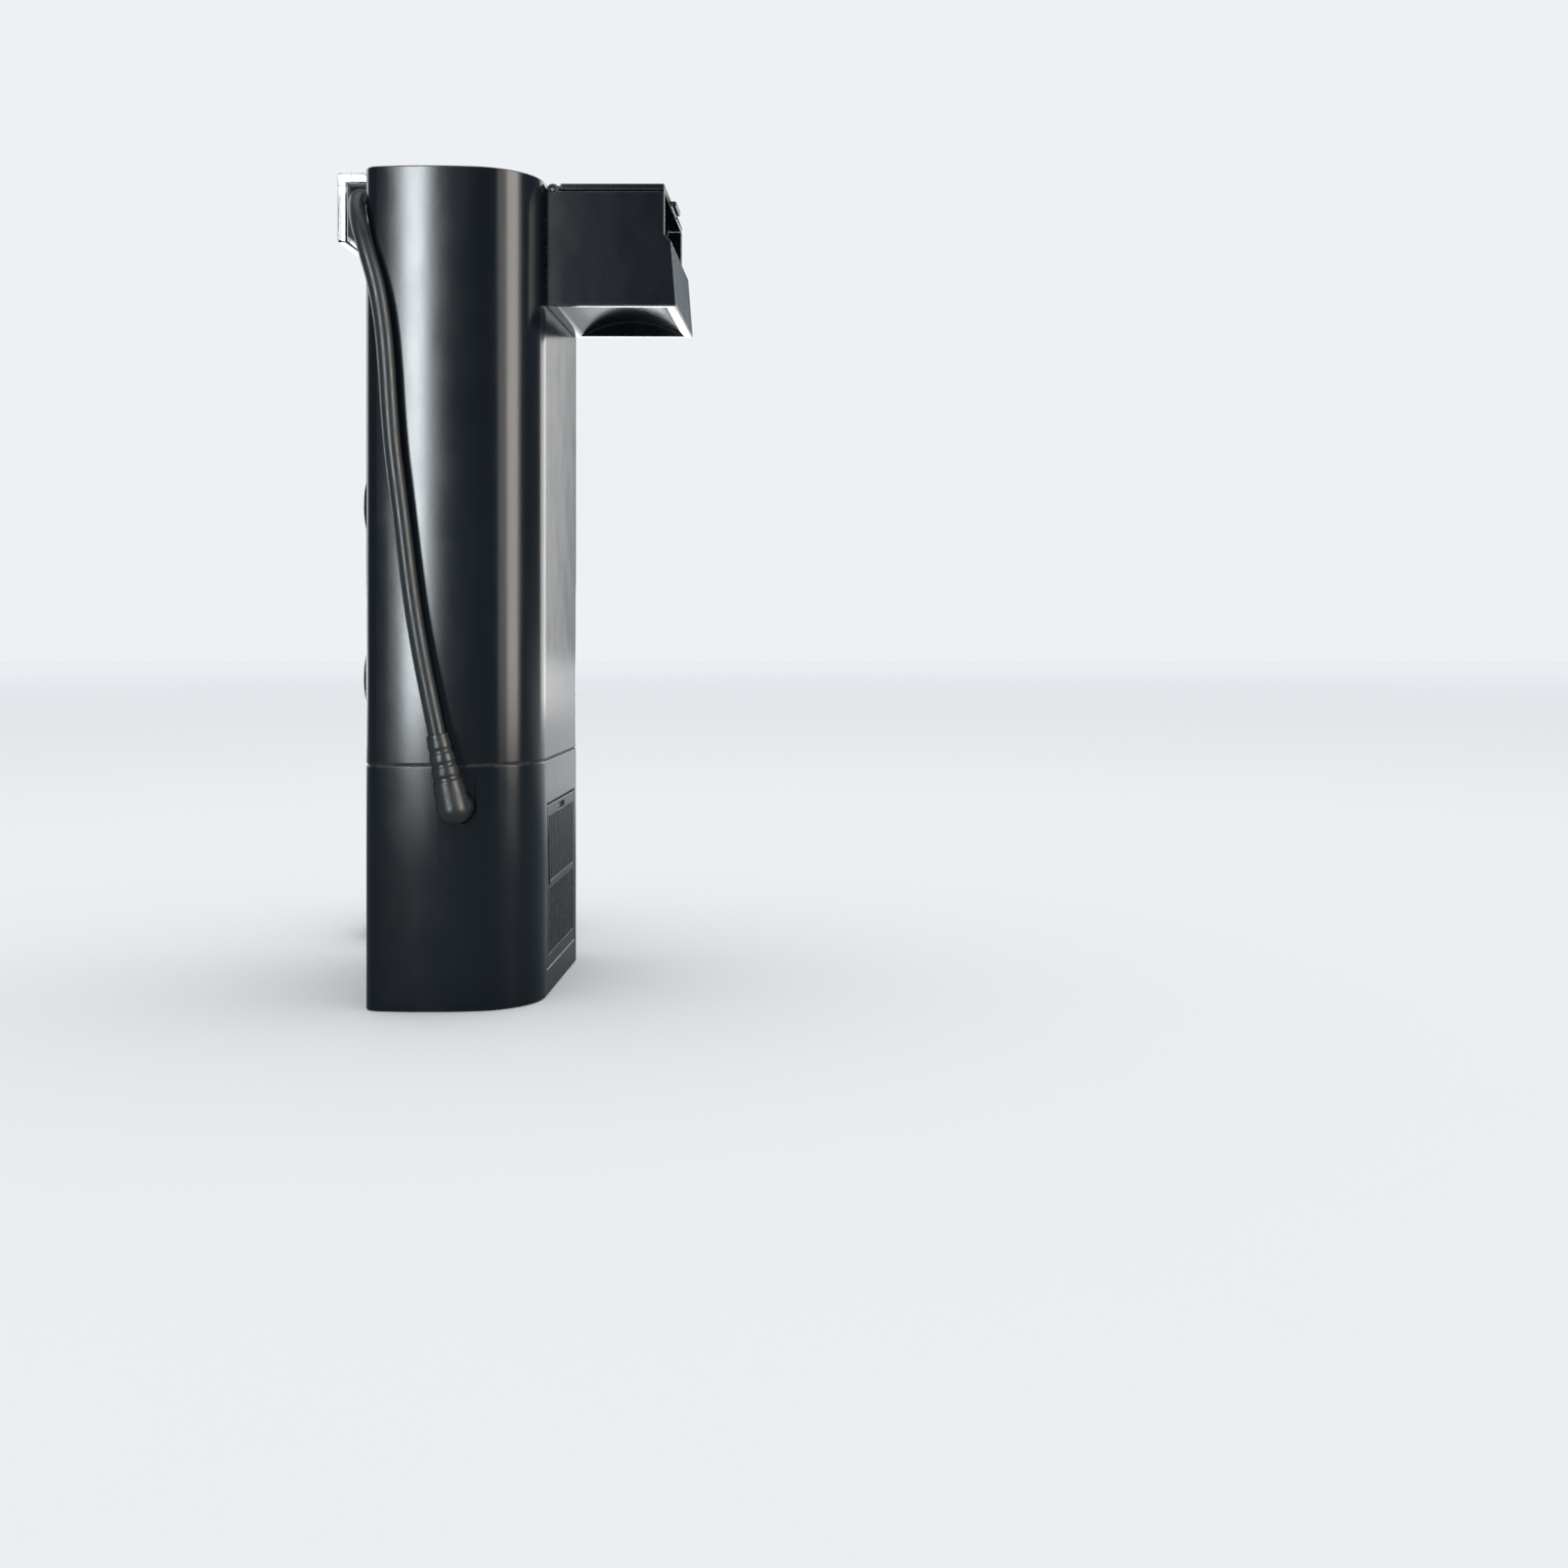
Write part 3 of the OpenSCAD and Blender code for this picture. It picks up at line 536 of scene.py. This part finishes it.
TAIL = [mm(x, y, COIL_TOP_Z) for x, y in (
    (-0.5, 94), (-2.5, 83.7), (-8.6, 74.6), (-15.9, 69.9), (-24.4, 68.8),
    (-32.7, 71.4), (-39.1, 77.2), (-41.8, 82.9), (-42.7, 88.7))]
COIL_CENTRE = mm(-28, 94, 0)
COIL_START = 225                # degrees, where the cord meets the coil
COIL_TURNED = 1665              # degrees wound, clockwise seen from above
COIL_STEP = 15                  # degrees between its points
COIL_R = 30                     # mm, the outer turns
TURN_GAP = 5                    # mm, from a turn to the one beside it


def eased(turned, start, length=60):
    """0 before start, 1 after start + length degrees, smooth between."""
    t = min(max((turned - start) / length, 0), 1)
    return t * t * (3 - 2 * t)


def coil_point(turned):
    """Turns lie two side by side and three high; each step over comes 300 degrees on."""
    inward = eased(turned, 300) - eased(turned, 900) + eased(turned, 1500)
    radius = COIL_R - TURN_GAP * inward + TURN_GAP / 2 * eased(turned, 1620, 45)
    layer = eased(turned, 600) + eased(turned, 1200) + eased(turned, 1560)
    height = COIL_LOW_Z + layer * (COIL_TOP_Z - COIL_LOW_Z) / 3
    a = math.radians(COIL_START - turned)
    return COIL_CENTRE + mm(radius * math.cos(a), radius * math.sin(a), height)


def cord_line():
    """The cord's middle line, from the boot to the plug's tail."""
    coil = [coil_point(t) for t in range(COIL_STEP, COIL_TURNED, COIL_STEP)]
    return smooth_path(ROUTE + coil + TAIL, 4)


PLUG_X = -42.7                  # mm, as all the plug's numbers
TAIL_Y, REAR_Y, NOSE_Y = 88.7, 106.7, 136.7     # its tail, rear face and front face
TAIL_R = 2.9                    # at the cord; it grows by TAIL_GROWS towards the body
TAIL_GROWS = 1.7
BODY_GROWS = (7, 2.3)           # how far the body stands out past the tail, across and up
PLUG_RISE = 4.5                 # the body's middle over the tail's
RIB_DEPTH, RIB_PITCH = 0.35, 3
GRIP_Y, GRIP_LENGTH = 122, 16   # hollow grips at the sides, with fine ridges
RIDGE_DEPTH = 0.28
NOSE_R = 1.3


def plug_section(y):
    """Half width, half height and squareness of the plug at y."""
    lean = min((y - TAIL_Y) / (REAR_Y - TAIL_Y), 1)
    swell = eased(y, REAR_Y - 2, 9)
    ribbed = math.sin(2 * math.pi * (y - TAIL_Y) / RIB_PITCH) > 0.1
    ribs = (1 - swell) * RIB_DEPTH * ribbed
    along = min(max((y - GRIP_Y + GRIP_LENGTH / 2) / GRIP_LENGTH, 0), 1)
    ridged = abs(y - GRIP_Y) < 6 and math.sin(math.pi * y) > 0
    grip = math.sin(math.pi * along) ** 2 + RIDGE_DEPTH * swell * ridged
    nose = NOSE_R * max(0, (y - NOSE_Y + NOSE_R) / NOSE_R) ** 2
    half_w = TAIL_R + TAIL_GROWS * lean + swell * BODY_GROWS[0] - ribs - grip - nose
    half_h = TAIL_R + TAIL_GROWS * lean + swell * BODY_GROWS[1] - ribs - nose
    return half_w, half_h, 2 + 2.2 * swell


def superellipse(a, power):
    """A point of a rounded square of half width 1, at angle a."""
    c, s = math.cos(a), math.sin(a)
    r = (abs(c) ** power + abs(s) ** power) ** (-1 / power)
    return r * c, r * s


def make_plug():
    """Two-pin plug: a ribbed tail that widens into a body with hollowed grips."""
    sides, sections = 48, 110
    verts = []
    for i in range(sections + 1):
        y = TAIL_Y + (NOSE_Y - TAIL_Y) * i / sections
        half_w, half_h, power = plug_section(y)
        z = COIL_TOP_Z + PLUG_RISE * eased(y, TAIL_Y + 4, 16)
        for k in range(sides):
            across, up = superellipse(2 * math.pi * k / sides, power)
            verts.append(mm(PLUG_X + half_w * across, y, z + half_h * up))
    faces = rings_to_faces(sections + 1, sides)
    return piece("plug_moulding", verts, faces, finish("cord_black"), "column", ("plug_body", ))


def make_tie():
    """Hook-and-loop strap round the coil's section."""
    low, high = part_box("cord_tie")
    thick = 0.8 * MM
    radius = 2.2 * MM
    y0, y1 = low.y + thick / 2, high.y - thick / 2
    z0, z1 = low.z + thick / 2, high.z - thick / 2
    line = []
    steps = 8
    for cy, cz, start in ((y1 - radius, z0 + radius, -90), (y1 - radius, z1 - radius, 0),
                          (y0 + radius, z1 - radius, 90), (y0 + radius, z0 + radius, 180)):
        for i in range(steps + 1):
            a = math.radians(start + i * 90 / steps)
            line.append((cy + radius * math.cos(a), cz + radius * math.sin(a)))
    middle = Vector((0, (y0 + y1) / 2, (z0 + z1) / 2))
    section = [(-1, -0.7), (-0.9, -1), (0.9, -1), (1, -0.7),
               (1, 0.7), (0.9, 1), (-0.9, 1), (-1, 0.7)]
    verts = []
    count = len(line)
    for i, (y, z) in enumerate(line):
        ahead = Vector((0, *line[(i + 1) % count])) - Vector((0, *line[i - 1]))
        out = Vector((0, ahead.z, -ahead.y)).normalized()
        if out.dot(Vector((0, y, z)) - middle) < 0:
            out = -out
        for across, up in section:
            x = (low.x + high.x) / 2 + across * (high.x - low.x) / 2
            verts.append(Vector((x, y, z)) + out * up * thick / 2)
    faces = rings_to_faces(count, len(section), closed=True)
    return piece("coil_strap", verts, faces, finish("trim_satin"), "column", ("cord_tie", ))


def make_cord():
    """The cord from boot to plug, with the plug, its pins and the strap on it."""
    line = cord_line()
    verts, faces = tube(line, CORD_R, 16)
    cord = piece("mains_cord", verts, faces, finish("cord_black"), "column",
                 ("power_cord", "cord_coil", "cord_tail"), math.radians(80))
    plug = make_plug()
    pins = rounded("plug_pins", finish("plug_brass"), 0.3)
    strap = make_tie()


BOOT_R = 4.75                   # mm, as the boot's other numbers
BOOT_TAPER = 1.65
BOOT_VOXEL = 0.22
BOOT_RIBS = 5.5                 # waves along the sleeve
BOOT_RIB_DEPTH = 0.34
RIB_SPAN = (0.28, 0.92)         # the part of the sleeve that has ribs
ELBOW = mm(2.8, -54.6, 59.5)
STUB_AT = mm(2.8, -46, 59.5)


def make_gland():
    """Moulded elbow boot: a collar on the casing, a bend and a ribbed tapering sleeve."""
    along = ROUTE[0] - ELBOW
    inward = (0, 1, 0)
    collar_outline = [(0, 3.9), (0.5, 4.55), (1.1, 4.78), (8.2, 4.78)]
    collar = lathe([(a * MM, r * MM) for a, r in collar_outline], ELBOW, inward)
    path, radii = [], []
    steps = 60
    for i in range(steps + 1):
        t = i / steps
        path.append(ELBOW + along * t)
        wave = max(0, math.sin(2 * math.pi * BOOT_RIBS * t))
        ribs = BOOT_RIB_DEPTH * wave if RIB_SPAN[0] < t < RIB_SPAN[1] else 0
        radii.append((BOOT_R - BOOT_TAPER * t - ribs) * MM)
    sleeve = tube(path, radii, 32)
    turns = [math.radians(a) for a in range(-90, 91, 6)]
    ball = lathe([(BOOT_R * MM * math.sin(a), max(BOOT_R * MM * math.cos(a), 0.01 * MM))
                  for a in turns], ELBOW, inward)
    apart = new_mesh("boot_rough", *joined([collar, sleeve, ball]))
    boot = remeshed("boot_rough", apart, BOOT_VOXEL, soften=4)
    dress("cord_boot", boot, finish("cord_black"), "column", ("cable_gland", ), math.radians(60))
    stub = lathe([(-0.4 * MM, 3 * MM), (0, 3 * MM)], STUB_AT, inward)
    piece("boot_stub", *stub, finish("cord_black"), "column")


# ---------------------------------------------------------------- media
def noisy(mesh, size, depth, seed):
    """Moves a mesh's points in and out by smooth noise; size is a bump's width in metres."""
    offset = Vector((seed, seed * 2, seed * 3))
    normals = [v.normal.copy() for v in mesh.vertices]
    for v, normal in zip(mesh.vertices, normals):
        v.co += normal * depth * noise.fractal(v.co / size + offset, 1.0, 2.0, 3)


PORE_WIDTH = 0.42               # of the distance between pores


def make_foam(node, slot, name, voxel, pore, depth, seed):
    """Foam block: its CAD shape cut in fine cells, with open pores in its skin."""
    bm = cad_mesh(node)
    mesh = bpy.data.meshes.new(name + "_rough")
    bm.to_mesh(mesh)
    bm.free()
    final = remeshed(name + "_rough", mesh, voxel)
    normals = [v.normal.copy() for v in final.vertices]
    offset = Vector((seed, seed, seed))
    for v, normal in zip(final.vertices, normals):
        near = noise.voronoi(v.co / (pore * MM) + offset)[0]
        open_pore = max(0.0, PORE_WIDTH - near[0]) / PORE_WIDTH
        v.co -= normal * depth * MM * (0.25 + open_pore)
    obj = dress(name, final, finish(slot), nodes[node]["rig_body"], (node, ), math.radians(70))


def granule(centre, size, rng):
    """A small broken lump with flat sides."""
    bm = bmesh.new()
    bmesh.ops.create_icosphere(bm, subdivisions=1, radius=1)
    stretch = Vector((rng.uniform(0.7, 1.1), rng.uniform(0.7, 1.1), rng.uniform(0.6, 1.0)))
    turn = Matrix.Rotation(rng.uniform(0, math.pi), 3, Vector((rng.random(), rng.random(), 1)))
    verts = []
    for v in bm.verts:
        p = turn @ (v.co * stretch) * rng.uniform(0.78, 1.08)
        verts.append(centre + p * size)
    faces = [[v.index for v in f.verts] for f in bm.faces]
    bm.free()
    return verts, faces


def make_carbon():
    """Activated carbon: loose granules over a solid core."""
    seed = 7
    rng = random.Random(seed)
    low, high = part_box("carbon_fill")
    bm = cad_mesh("carbon_fill")
    bmesh.ops.triangulate(bm, faces=bm.faces)
    tree = BVHTree.FromBMesh(bm)
    centre = (low + high) / 2
    pitch, size = 2.7 * MM, 1.5 * MM
    counts = [int((high[i] - low[i]) / pitch) for i in range(3)]
    lumps = []
    for i in range(counts[0] + 1):
        for j in range(counts[1] + 1):
            for k in range(counts[2] + 1):
                jitter = Vector([rng.uniform(-0.5, 0.5) * MM for _ in range(3)])
                p = low + Vector((i, j, k)) * pitch + jitter
                hit, normal, _, depth = tree.find_nearest(p)
                inside = (p - hit).dot(normal) < 0
                if inside and size * 1.02 < depth < size + pitch:
                    lumps.append(granule(p, size * rng.uniform(0.75, 1.0), rng))
    core_share = 0.93
    for v in bm.verts:
        v.co = centre + (v.co - centre) * core_share
    core = bpy.data.meshes.new("carbon_core")
    bm.to_mesh(core)
    bm.free()
    dress("carbon_core", core, finish("carbon"), "media_cartridge")
    piece("carbon_granules", *joined(lumps), finish("carbon"), "media_cartridge",
          ("carbon_fill", ), math.radians(10))


def make_rings():
    """Sintered ceramic rings with chamfered ends and a rough skin."""
    pitch, height, layer = 11.9, 12.6, 13.6
    first_x = -10.3
    z0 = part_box("ceramic_rings")[0].z / MM
    outer, inner, chamfer, nose = 5.3, 2.45, 0.7, 0.25
    profile = [(0, inner + chamfer), (0, outer - chamfer), (nose, outer - nose)]
    profile += [(chamfer + i * (height - 2 * chamfer) / 9, outer) for i in range(10)]
    profile += [(height - nose, outer - nose), (height, outer - chamfer)]
    profile += [(height, inner + chamfer)]
    profile += [(height - chamfer - i * (height - 2 * chamfer) / 5, inner) for i in range(6)]
    profile = [(a * MM, r * MM) for a, r in profile]
    parts = []
    for level in range(3):
        for col in range(3):
            for row in range(-3, 4):
                if col < 2 or abs(row) < 3:
                    at = mm(first_x + col * pitch, row * pitch, z0 + level * layer)
                    parts.append(loop_lathe(profile, at, (0, 0, 1), 32))
    obj = piece("bio_rings", *joined(parts), finish("ceramic_white"), "media_cartridge",
                ("ceramic_rings", ), math.radians(50))
    noisy(obj.data, 1.6 * MM, 0.1 * MM, 3)


# ---------------------------------------------------------------- motor and rotor
ROTOR_X = -1.5 * MM
LEG_X = 10.35 * MM              # from the rotor's axis to the middle of each leg of the core
WIRE_R = 0.42 * MM
WINDING_HALF = (4.65, 11.5)     # mm, half width and height over the wire
BED_EDGE = (4, 9)               # mm, past these from a leg's middle the bed is drawn in
BED_SHARE = (0.88, 0.95)


def make_windings():
    """Enamelled wire wound round both legs of the core, one layer over a solid bed."""
    low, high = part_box("coil_windings")
    centre_z = (low.z + high.z) / 2
    half_x, half_z = (half * MM - WIRE_R for half in WINDING_HALF)
    turns = int((high.y - low.y) / (2.02 * WIRE_R))
    steps = 40
    last = turns * steps - 1
    parts = []
    for s in (-1, 1):
        line = []
        for i in range(last + 1):
            across, up = superellipse(2 * math.pi * i / steps, 6)
            y = low.y + WIRE_R + (high.y - low.y - 2 * WIRE_R) * i / last
            x = ROTOR_X + s * LEG_X + half_x * across
            line.append(Vector((x, y, centre_z + half_z * up)))
        parts.append(tube(line, WIRE_R, 8))
    piece("winding_wire", *joined(parts), finish("copper"), "column", (), math.radians(60))
    bed = cad_mesh("coil_windings")
    for v in bed.verts:
        mid_x = ROTOR_X + math.copysign(LEG_X, v.co.x - ROTOR_X)
        off_x, off_z = v.co.x - mid_x, v.co.z - centre_z
        if abs(off_x) > BED_EDGE[0] * MM or abs(off_z) > BED_EDGE[1] * MM:
            v.co.x = mid_x + off_x * BED_SHARE[0]
            v.co.z = centre_z + off_z * BED_SHARE[1]
    mesh = bpy.data.meshes.new("winding_bed")
    bed.to_mesh(mesh)
    bed.free()
    dress("winding_bed", mesh, finish("copper"), "column", ("coil_windings", ))


def thread_rings(x0, x1, z, radius, depth, pitch, sides=40, per_turn=14):
    """A V thread along X between two ends."""
    rings = max(int(abs(x1 - x0) / pitch * per_turn), 4)
    verts = []
    for i in range(rings + 1):
        x = x0 + (x1 - x0) * i / rings
        fade = min(1, i / 6, (rings - i) / 6)
        for k in range(sides):
            a = k / sides
            phase = (abs(x - x0) / pitch + a) % 1
            r = radius - depth * fade * (1 - abs(2 * phase - 1)) - depth * 0.4 * (1 - fade)
            verts.append(mm(x, r * math.cos(2 * math.pi * a), z + r * math.sin(2 * math.pi * a)))
    return verts, rings_to_faces(rings + 1, sides)


WHEEL_FACE_X = -28.2            # mm, where the stud leaves the thumb wheel
STUD_Z = 58
STUD_R, STUD_DEPTH, STUD_PITCH = 3.0, 0.55, 1.5  # the thread's radius, depth and pitch


def make_level_screw():
    """Thumb wheel with scalloped rim on a threaded stud."""
    bm = cad_mesh("level_screw")
    cut = bmesh.ops.bisect_plane(bm, geom=bm.verts[:] + bm.edges[:] + bm.faces[:], dist=1e-7,
                                 plane_co=mm(WHEEL_FACE_X + 0.05, 0, 0), plane_no=(1, 0, 0),
                                 clear_outer=True)
    rim = [e for e in cut["geom_cut"] if isinstance(e, bmesh.types.BMEdge)]
    bmesh.ops.contextual_create(bm, geom=rim)
    wheel = dress("level_wheel", plain_mesh(bm, "level_wheel"), finish("trim_satin"), "screw",
                  ("level_screw", ))
    round_edges(wheel, 0.35, 3)
    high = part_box("level_screw")[1]
    thread = thread_rings(WHEEL_FACE_X, high.x / MM, STUD_Z, STUD_R, STUD_DEPTH, STUD_PITCH)
    piece("level_thread", *thread, finish("trim_satin"), "screw", (), math.radians(45))


BACK_X = -25                    # mm, the column's back face
SCREW_Y, SCREW_Z = 34, 74.3
SHANK_END_X = -18.7
HEAD_OUTLINE = [(1.4, 0.01), (1.38, 0.9), (1.2, 1.7), (0.85, 2.3), (0.4, 2.62), (0.0, 2.68),
                (-0.02, 1.25)]  # (height, radius)
SLOT_MIDDLE, SLOT_HALF_DEPTH = 1.4, 0.9          # the cross's bars, from the back face out
SLOT_HALVES = ((0.32, 1.5), (1.5, 0.32))        # their half widths along Y and Z


def make_screws():
    """Pan-head screws with a cross recess."""
    profile = [(-a * MM, r * MM) for a, r in HEAD_OUTLINE]
    look = finish("steel")
    for s, side in ((-1, "left"), (1, "right")):
        at = mm(BACK_X, s * SCREW_Y, SCREW_Z)
        head = lathe(profile, at, (1, 0, 0), 40)
        obj = piece("screw_" + side, *head, look, "column", ("casing_screws", ), math.radians(40))
        for half_y, half_z in SLOT_HALVES:
            cutter = bpy.data.meshes.new("slot")
            bm = bmesh.new()
            bmesh.ops.create_cube(bm, size=2)
            for v in bm.verts:
                x = v.co.x * SLOT_HALF_DEPTH - SLOT_MIDDLE
                v.co = at + mm(x, v.co.y * half_y, v.co.z * half_z)
            bm.to_mesh(cutter)
            bm.free()
            cut_away(obj, cutter)
        verts, faces = thread_rings(BACK_X, SHANK_END_X, SCREW_Z, 1.22, 0.22, 0.8, 24, 12)
        moved = [v + Vector((0, at.y, 0)) for v in verts]
        piece("screw_thread_" + side, moved, faces, look, "column", (), math.radians(45))


def cut_away(obj, cutter_mesh):
    """Cuts one mesh out of an object, for good."""
    cutter = new_object("cutter", cutter_mesh)
    modifier = obj.modifiers.new("cut", "BOOLEAN")
    modifier.operation = "DIFFERENCE"
    modifier.solver = "EXACT"
    modifier.object = cutter
    final = applied_mesh(obj)
    obj.modifiers.remove(modifier)
    obj.data = final
    final.shade_smooth()
    final.set_sharp_from_angle(angle=SMOOTH_ANGLE)
    bpy.data.objects.remove(cutter)


CUP_OUTLINE = [(0.6, 0.02), (0.6, 2.4), (1.0, 2.5), (3.1, 2.5), (3.35, 3.2), (3.4, 4.4),
               (3.9, 5.1), (5.4, 6.0), (7.4, 8.2), (9.0, 10.2), (9.65, 10.95), (9.95, 10.9),
               (10.0, 10.5), (9.5, 9.6), (8.4, 7.6), (7.4, 5.4), (6.8, 3.0), (6.5, 0.02)]


def make_suction_cup(node):
    """Thin-lipped cup on a short stem."""
    low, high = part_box(node)
    axis_z = (low.z + high.z) / 2 / MM
    profile = [(-a * MM, r * MM) for a, r in CUP_OUTLINE]
    cup_mesh = lathe(profile, mm(BACK_X, 0, axis_z), (1, 0, 0), 64)
    piece(node + "_moulding", *cup_mesh, finish("cup_rubber"), "column", (node, ),
          math.radians(75))


# ---------------------------------------------------------------- build
ROUNDED = {
    # node: (slot, edge radius in mm, segments)
    "main_housing": ("housing_gloss", 0.45, 3),
    "lower_casing": ("casing_gloss", 0.45, 3),
    "spout_trough": ("spout_gloss", 0.4, 3),
    "spout_cover": ("spout_gloss", 0.4, 3),
    "weir_comb": ("spout_gloss", 0.2, 2),
    "basket_lid": ("lid_satin", 0.3, 2),
    "lift_handle": ("lid_satin", 0.4, 3),
    "intake_strainer": ("trim_satin", 0.3, 2),
    "cord_clips": ("trim_satin", 0.2, 2),
    "motor_can": ("pump_plastic", 0.5, 3),
    "motor_end_cap": ("pump_plastic", 0.3, 2),
    "volute": ("pump_plastic", 0.3, 2),
    "volute_cover": ("pump_plastic", 0.25, 2),
    "media_basket": ("basket_smoke", 0.25, 2),
    "tier_divider_lower": ("basket_smoke", 0.25, 2),
    "tier_divider_upper": ("basket_smoke", 0.25, 2),
    "carbon_cassette": ("basket_smoke", 0.25, 2),
    "chamber_floor": ("basket_smoke", 0.3, 2),
    "impeller_shaft": ("shaft_ceramic", 0.15, 2),
    "seam_gasket": ("rubber_black", 0, 0),
    "pump_feet": ("rubber_black", 0.3, 3),
    "outlet_oring": ("rubber_black", 0, 0),
    "shaft_bush_rear": ("rubber_black", 0.1, 2),
    "shaft_bush_front": ("rubber_black", 0.1, 2),
    "rim_pad": ("rubber_black", 0.25, 2),
    "level_pad": ("cup_rubber", 0.4, 3),
    "inner_lead": ("cord_black", 0, 0),
    "hanger_bracket": ("bracket_clear", 0.5, 3),
    "rotor_magnet": ("magnet", 0.3, 2),
    "impeller": ("impeller_white", 0.2, 2),
    "flow_dial": ("dial_red", 0.2, 2),
    "spout_hinge_pin": ("pin_dark", 0.3, 3),
    "stator_core": ("lamination", 0.2, 2),
}


FLOOR_HALF = 6                  # metres, as the next two
PAINTED_LIGHT_SPAN = (1.0, 4.5)          # distances from the column at which the painted light on the floor, lightening it where the lamps reach less, starts and stops
PAINTED_REFLECTION_FADE = (0.3, 0.7)          # behind the column, where the floor's painted dark reflection fades out to its own colour


def make_floor():
    """A plain pale floor, painted lighter far away where the lamps reach less (painted light), and
    seen dark and bluish in gloss in front of the column (a painted reflection).
    """
    s = Shader("floor_pale", (0.8, 0.81, 0.82), 0.8)
    s.bsdf.inputs["Specular IOR Level"].default_value = 0.0
    away = s.add("ShaderNodeVectorMath", operation="LENGTH")
    s.link(s.place, away.inputs[0])
    # painted light: farther from the column the floor is coloured lighter, standing in for lamp
    # light that falls off there
    painted_light_share = s.remap(away.outputs["Value"], 0, 1, *PAINTED_LIGHT_SPAN)
    far = s.tint(painted_light_share, 1.0, (0.95, 0.965, 0.98), 0, 1)
    # painted reflection: glossy rays see the floor from in front of the column to just behind it
    # as dark blue grey
    rays = s.add("ShaderNodeLightPath")
    split = s.add("ShaderNodeSeparateXYZ")
    s.link(s.place, split.inputs["Vector"])
    painted_reflection_share = s.add("ShaderNodeMath", operation="MULTIPLY")
    s.link(rays.outputs["Is Glossy Ray"], painted_reflection_share.inputs[0])
    s.link(s.remap(split.outputs["Y"], 1, 0, *PAINTED_REFLECTION_FADE), painted_reflection_share.inputs[1])
    seen = s.add("ShaderNodeMix", data_type="RGBA")
    seen.inputs["B"].default_value = (0.22, 0.25, 0.27, 1)
    s.link(painted_reflection_share.outputs["Value"], seen.inputs["Factor"])
    s.link(far, seen.inputs["A"])
    material = s.done(seen.outputs["Result"], None, s.bump(s.noise(60, 4), 0.05, 0.3))
    mesh = bpy.data.meshes.new("floor")
    corners = ((-1, -1), (1, -1), (1, 1), (-1, 1))
    mesh.from_pydata([(x * FLOOR_HALF, y * FLOOR_HALF, 0) for x, y in corners], [], [(0, 1, 2, 3)])
    mesh.materials.append(material)
    floor = new_object("floor", mesh)


LIT_POINT = Vector((0, 0, 0.12))        # what the softboxes face
COOL, WARM, WHITE = (0.9, 0.97, 1.0), (1.0, 0.93, 0.86), (1.0, 1.0, 1.0)


def softbox(name, at, size, power, color, shine_only=True):
    """An area light that faces the column. shine_only ones are seen in gloss alone."""
    data = bpy.data.lights.new(name, "AREA")
    data.shape = "RECTANGLE"
    data.size, data.size_y = size
    data.energy = power
    data.color = color
    light = new_object(name, data)
    light.location = at
    light.rotation_euler = (LIT_POINT - Vector(at)).to_track_quat("-Z", "Y").to_euler()
    light.visible_diffuse = not shine_only
    light.visible_transmission = False


def make_light():
    """A narrow cool softbox at the front left and a wide warm one at the right, each with a
    halo round it, a soft top light, and low-powered ones behind for the back and the spout."""
    softbox("front_left", (-0.46, -1.5, 0.34), (0.2, 1.3), 22, COOL)
    softbox("front_left_halo", (-0.47, -1.52, 0.34), (0.38, 1.4), 8, COOL)
    softbox("right", (1.13, -0.46, 0.4), (0.45, 1.1), 10, WARM)
    softbox("right_halo", (1.1, -0.56, 0.4), (0.95, 1.25), 9, WARM)
    softbox("top", (0.1, 0.1, 1.6), (1.6, 1.6), 7, WHITE, shine_only=False)
    softbox("low_back", (-0.26, 0.95, 0.08), (0.6, 0.14), 0.9, WHITE)
    softbox("back_left", (-1.3, 0.9, 0.6), (0.7, 1.4), 8, (0.95, 0.98, 1.0))
    softbox("back_right", (0.75, 1.5, 0.5), (0.9, 1.2), 9, (1.0, 0.98, 0.95))


def make_world():
    """A pale world that mirrors dark and bluish, except through the clear acrylic."""
    world = bpy.data.worlds.new("studio")
    world.use_nodes = True
    tree = world.node_tree
    fill = tree.nodes["Background"]
    fill.inputs["Color"].default_value = (0.95, 0.975, 1.0, 1)
    fill.inputs["Strength"].default_value = 0.9
    dim = tree.nodes.new("ShaderNodeBackground")
    dim.inputs["Color"].default_value = (0.68, 0.86, 1.0, 1)
    dim.inputs["Strength"].default_value = 0.2
    rays = tree.nodes.new("ShaderNodeLightPath")
    mirrored = tree.nodes.new("ShaderNodeMath")
    mirrored.operation = "SUBTRACT"
    mirrored.use_clamp = True
    tree.links.new(rays.outputs["Is Glossy Ray"], mirrored.inputs[0])
    tree.links.new(rays.outputs["Is Transmission Ray"], mirrored.inputs[1])
    mix = tree.nodes.new("ShaderNodeMixShader")
    tree.links.new(mirrored.outputs["Value"], mix.inputs["Fac"])
    tree.links.new(fill.outputs["Background"], mix.inputs[1])
    tree.links.new(dim.outputs["Background"], mix.inputs[2])
    tree.links.new(mix.outputs["Shader"], tree.nodes["World Output"].inputs["Surface"])
    bpy.context.scene.world = world


make_camera()
make_cord()
make_gland()
for node, (slot, width, segments) in ROUNDED.items():
    rounded(node, finish(slot), width, segments)
make_foam("foam_block", "foam_blue", "media_foam", 0.9, 1.7, 0.55, 1)
make_foam("prefilter_foam", "foam_black", "intake_foam", 0.6, 1.5, 0.5, 2)
make_carbon()
make_rings()
make_windings()
make_level_screw()
make_screws()
for cup in ("suction_cup_upper", "suction_cup_lower"):
    make_suction_cup(cup)
make_floor()
make_light()
make_world()
bpy.context.scene.view_settings.view_transform = "Standard"
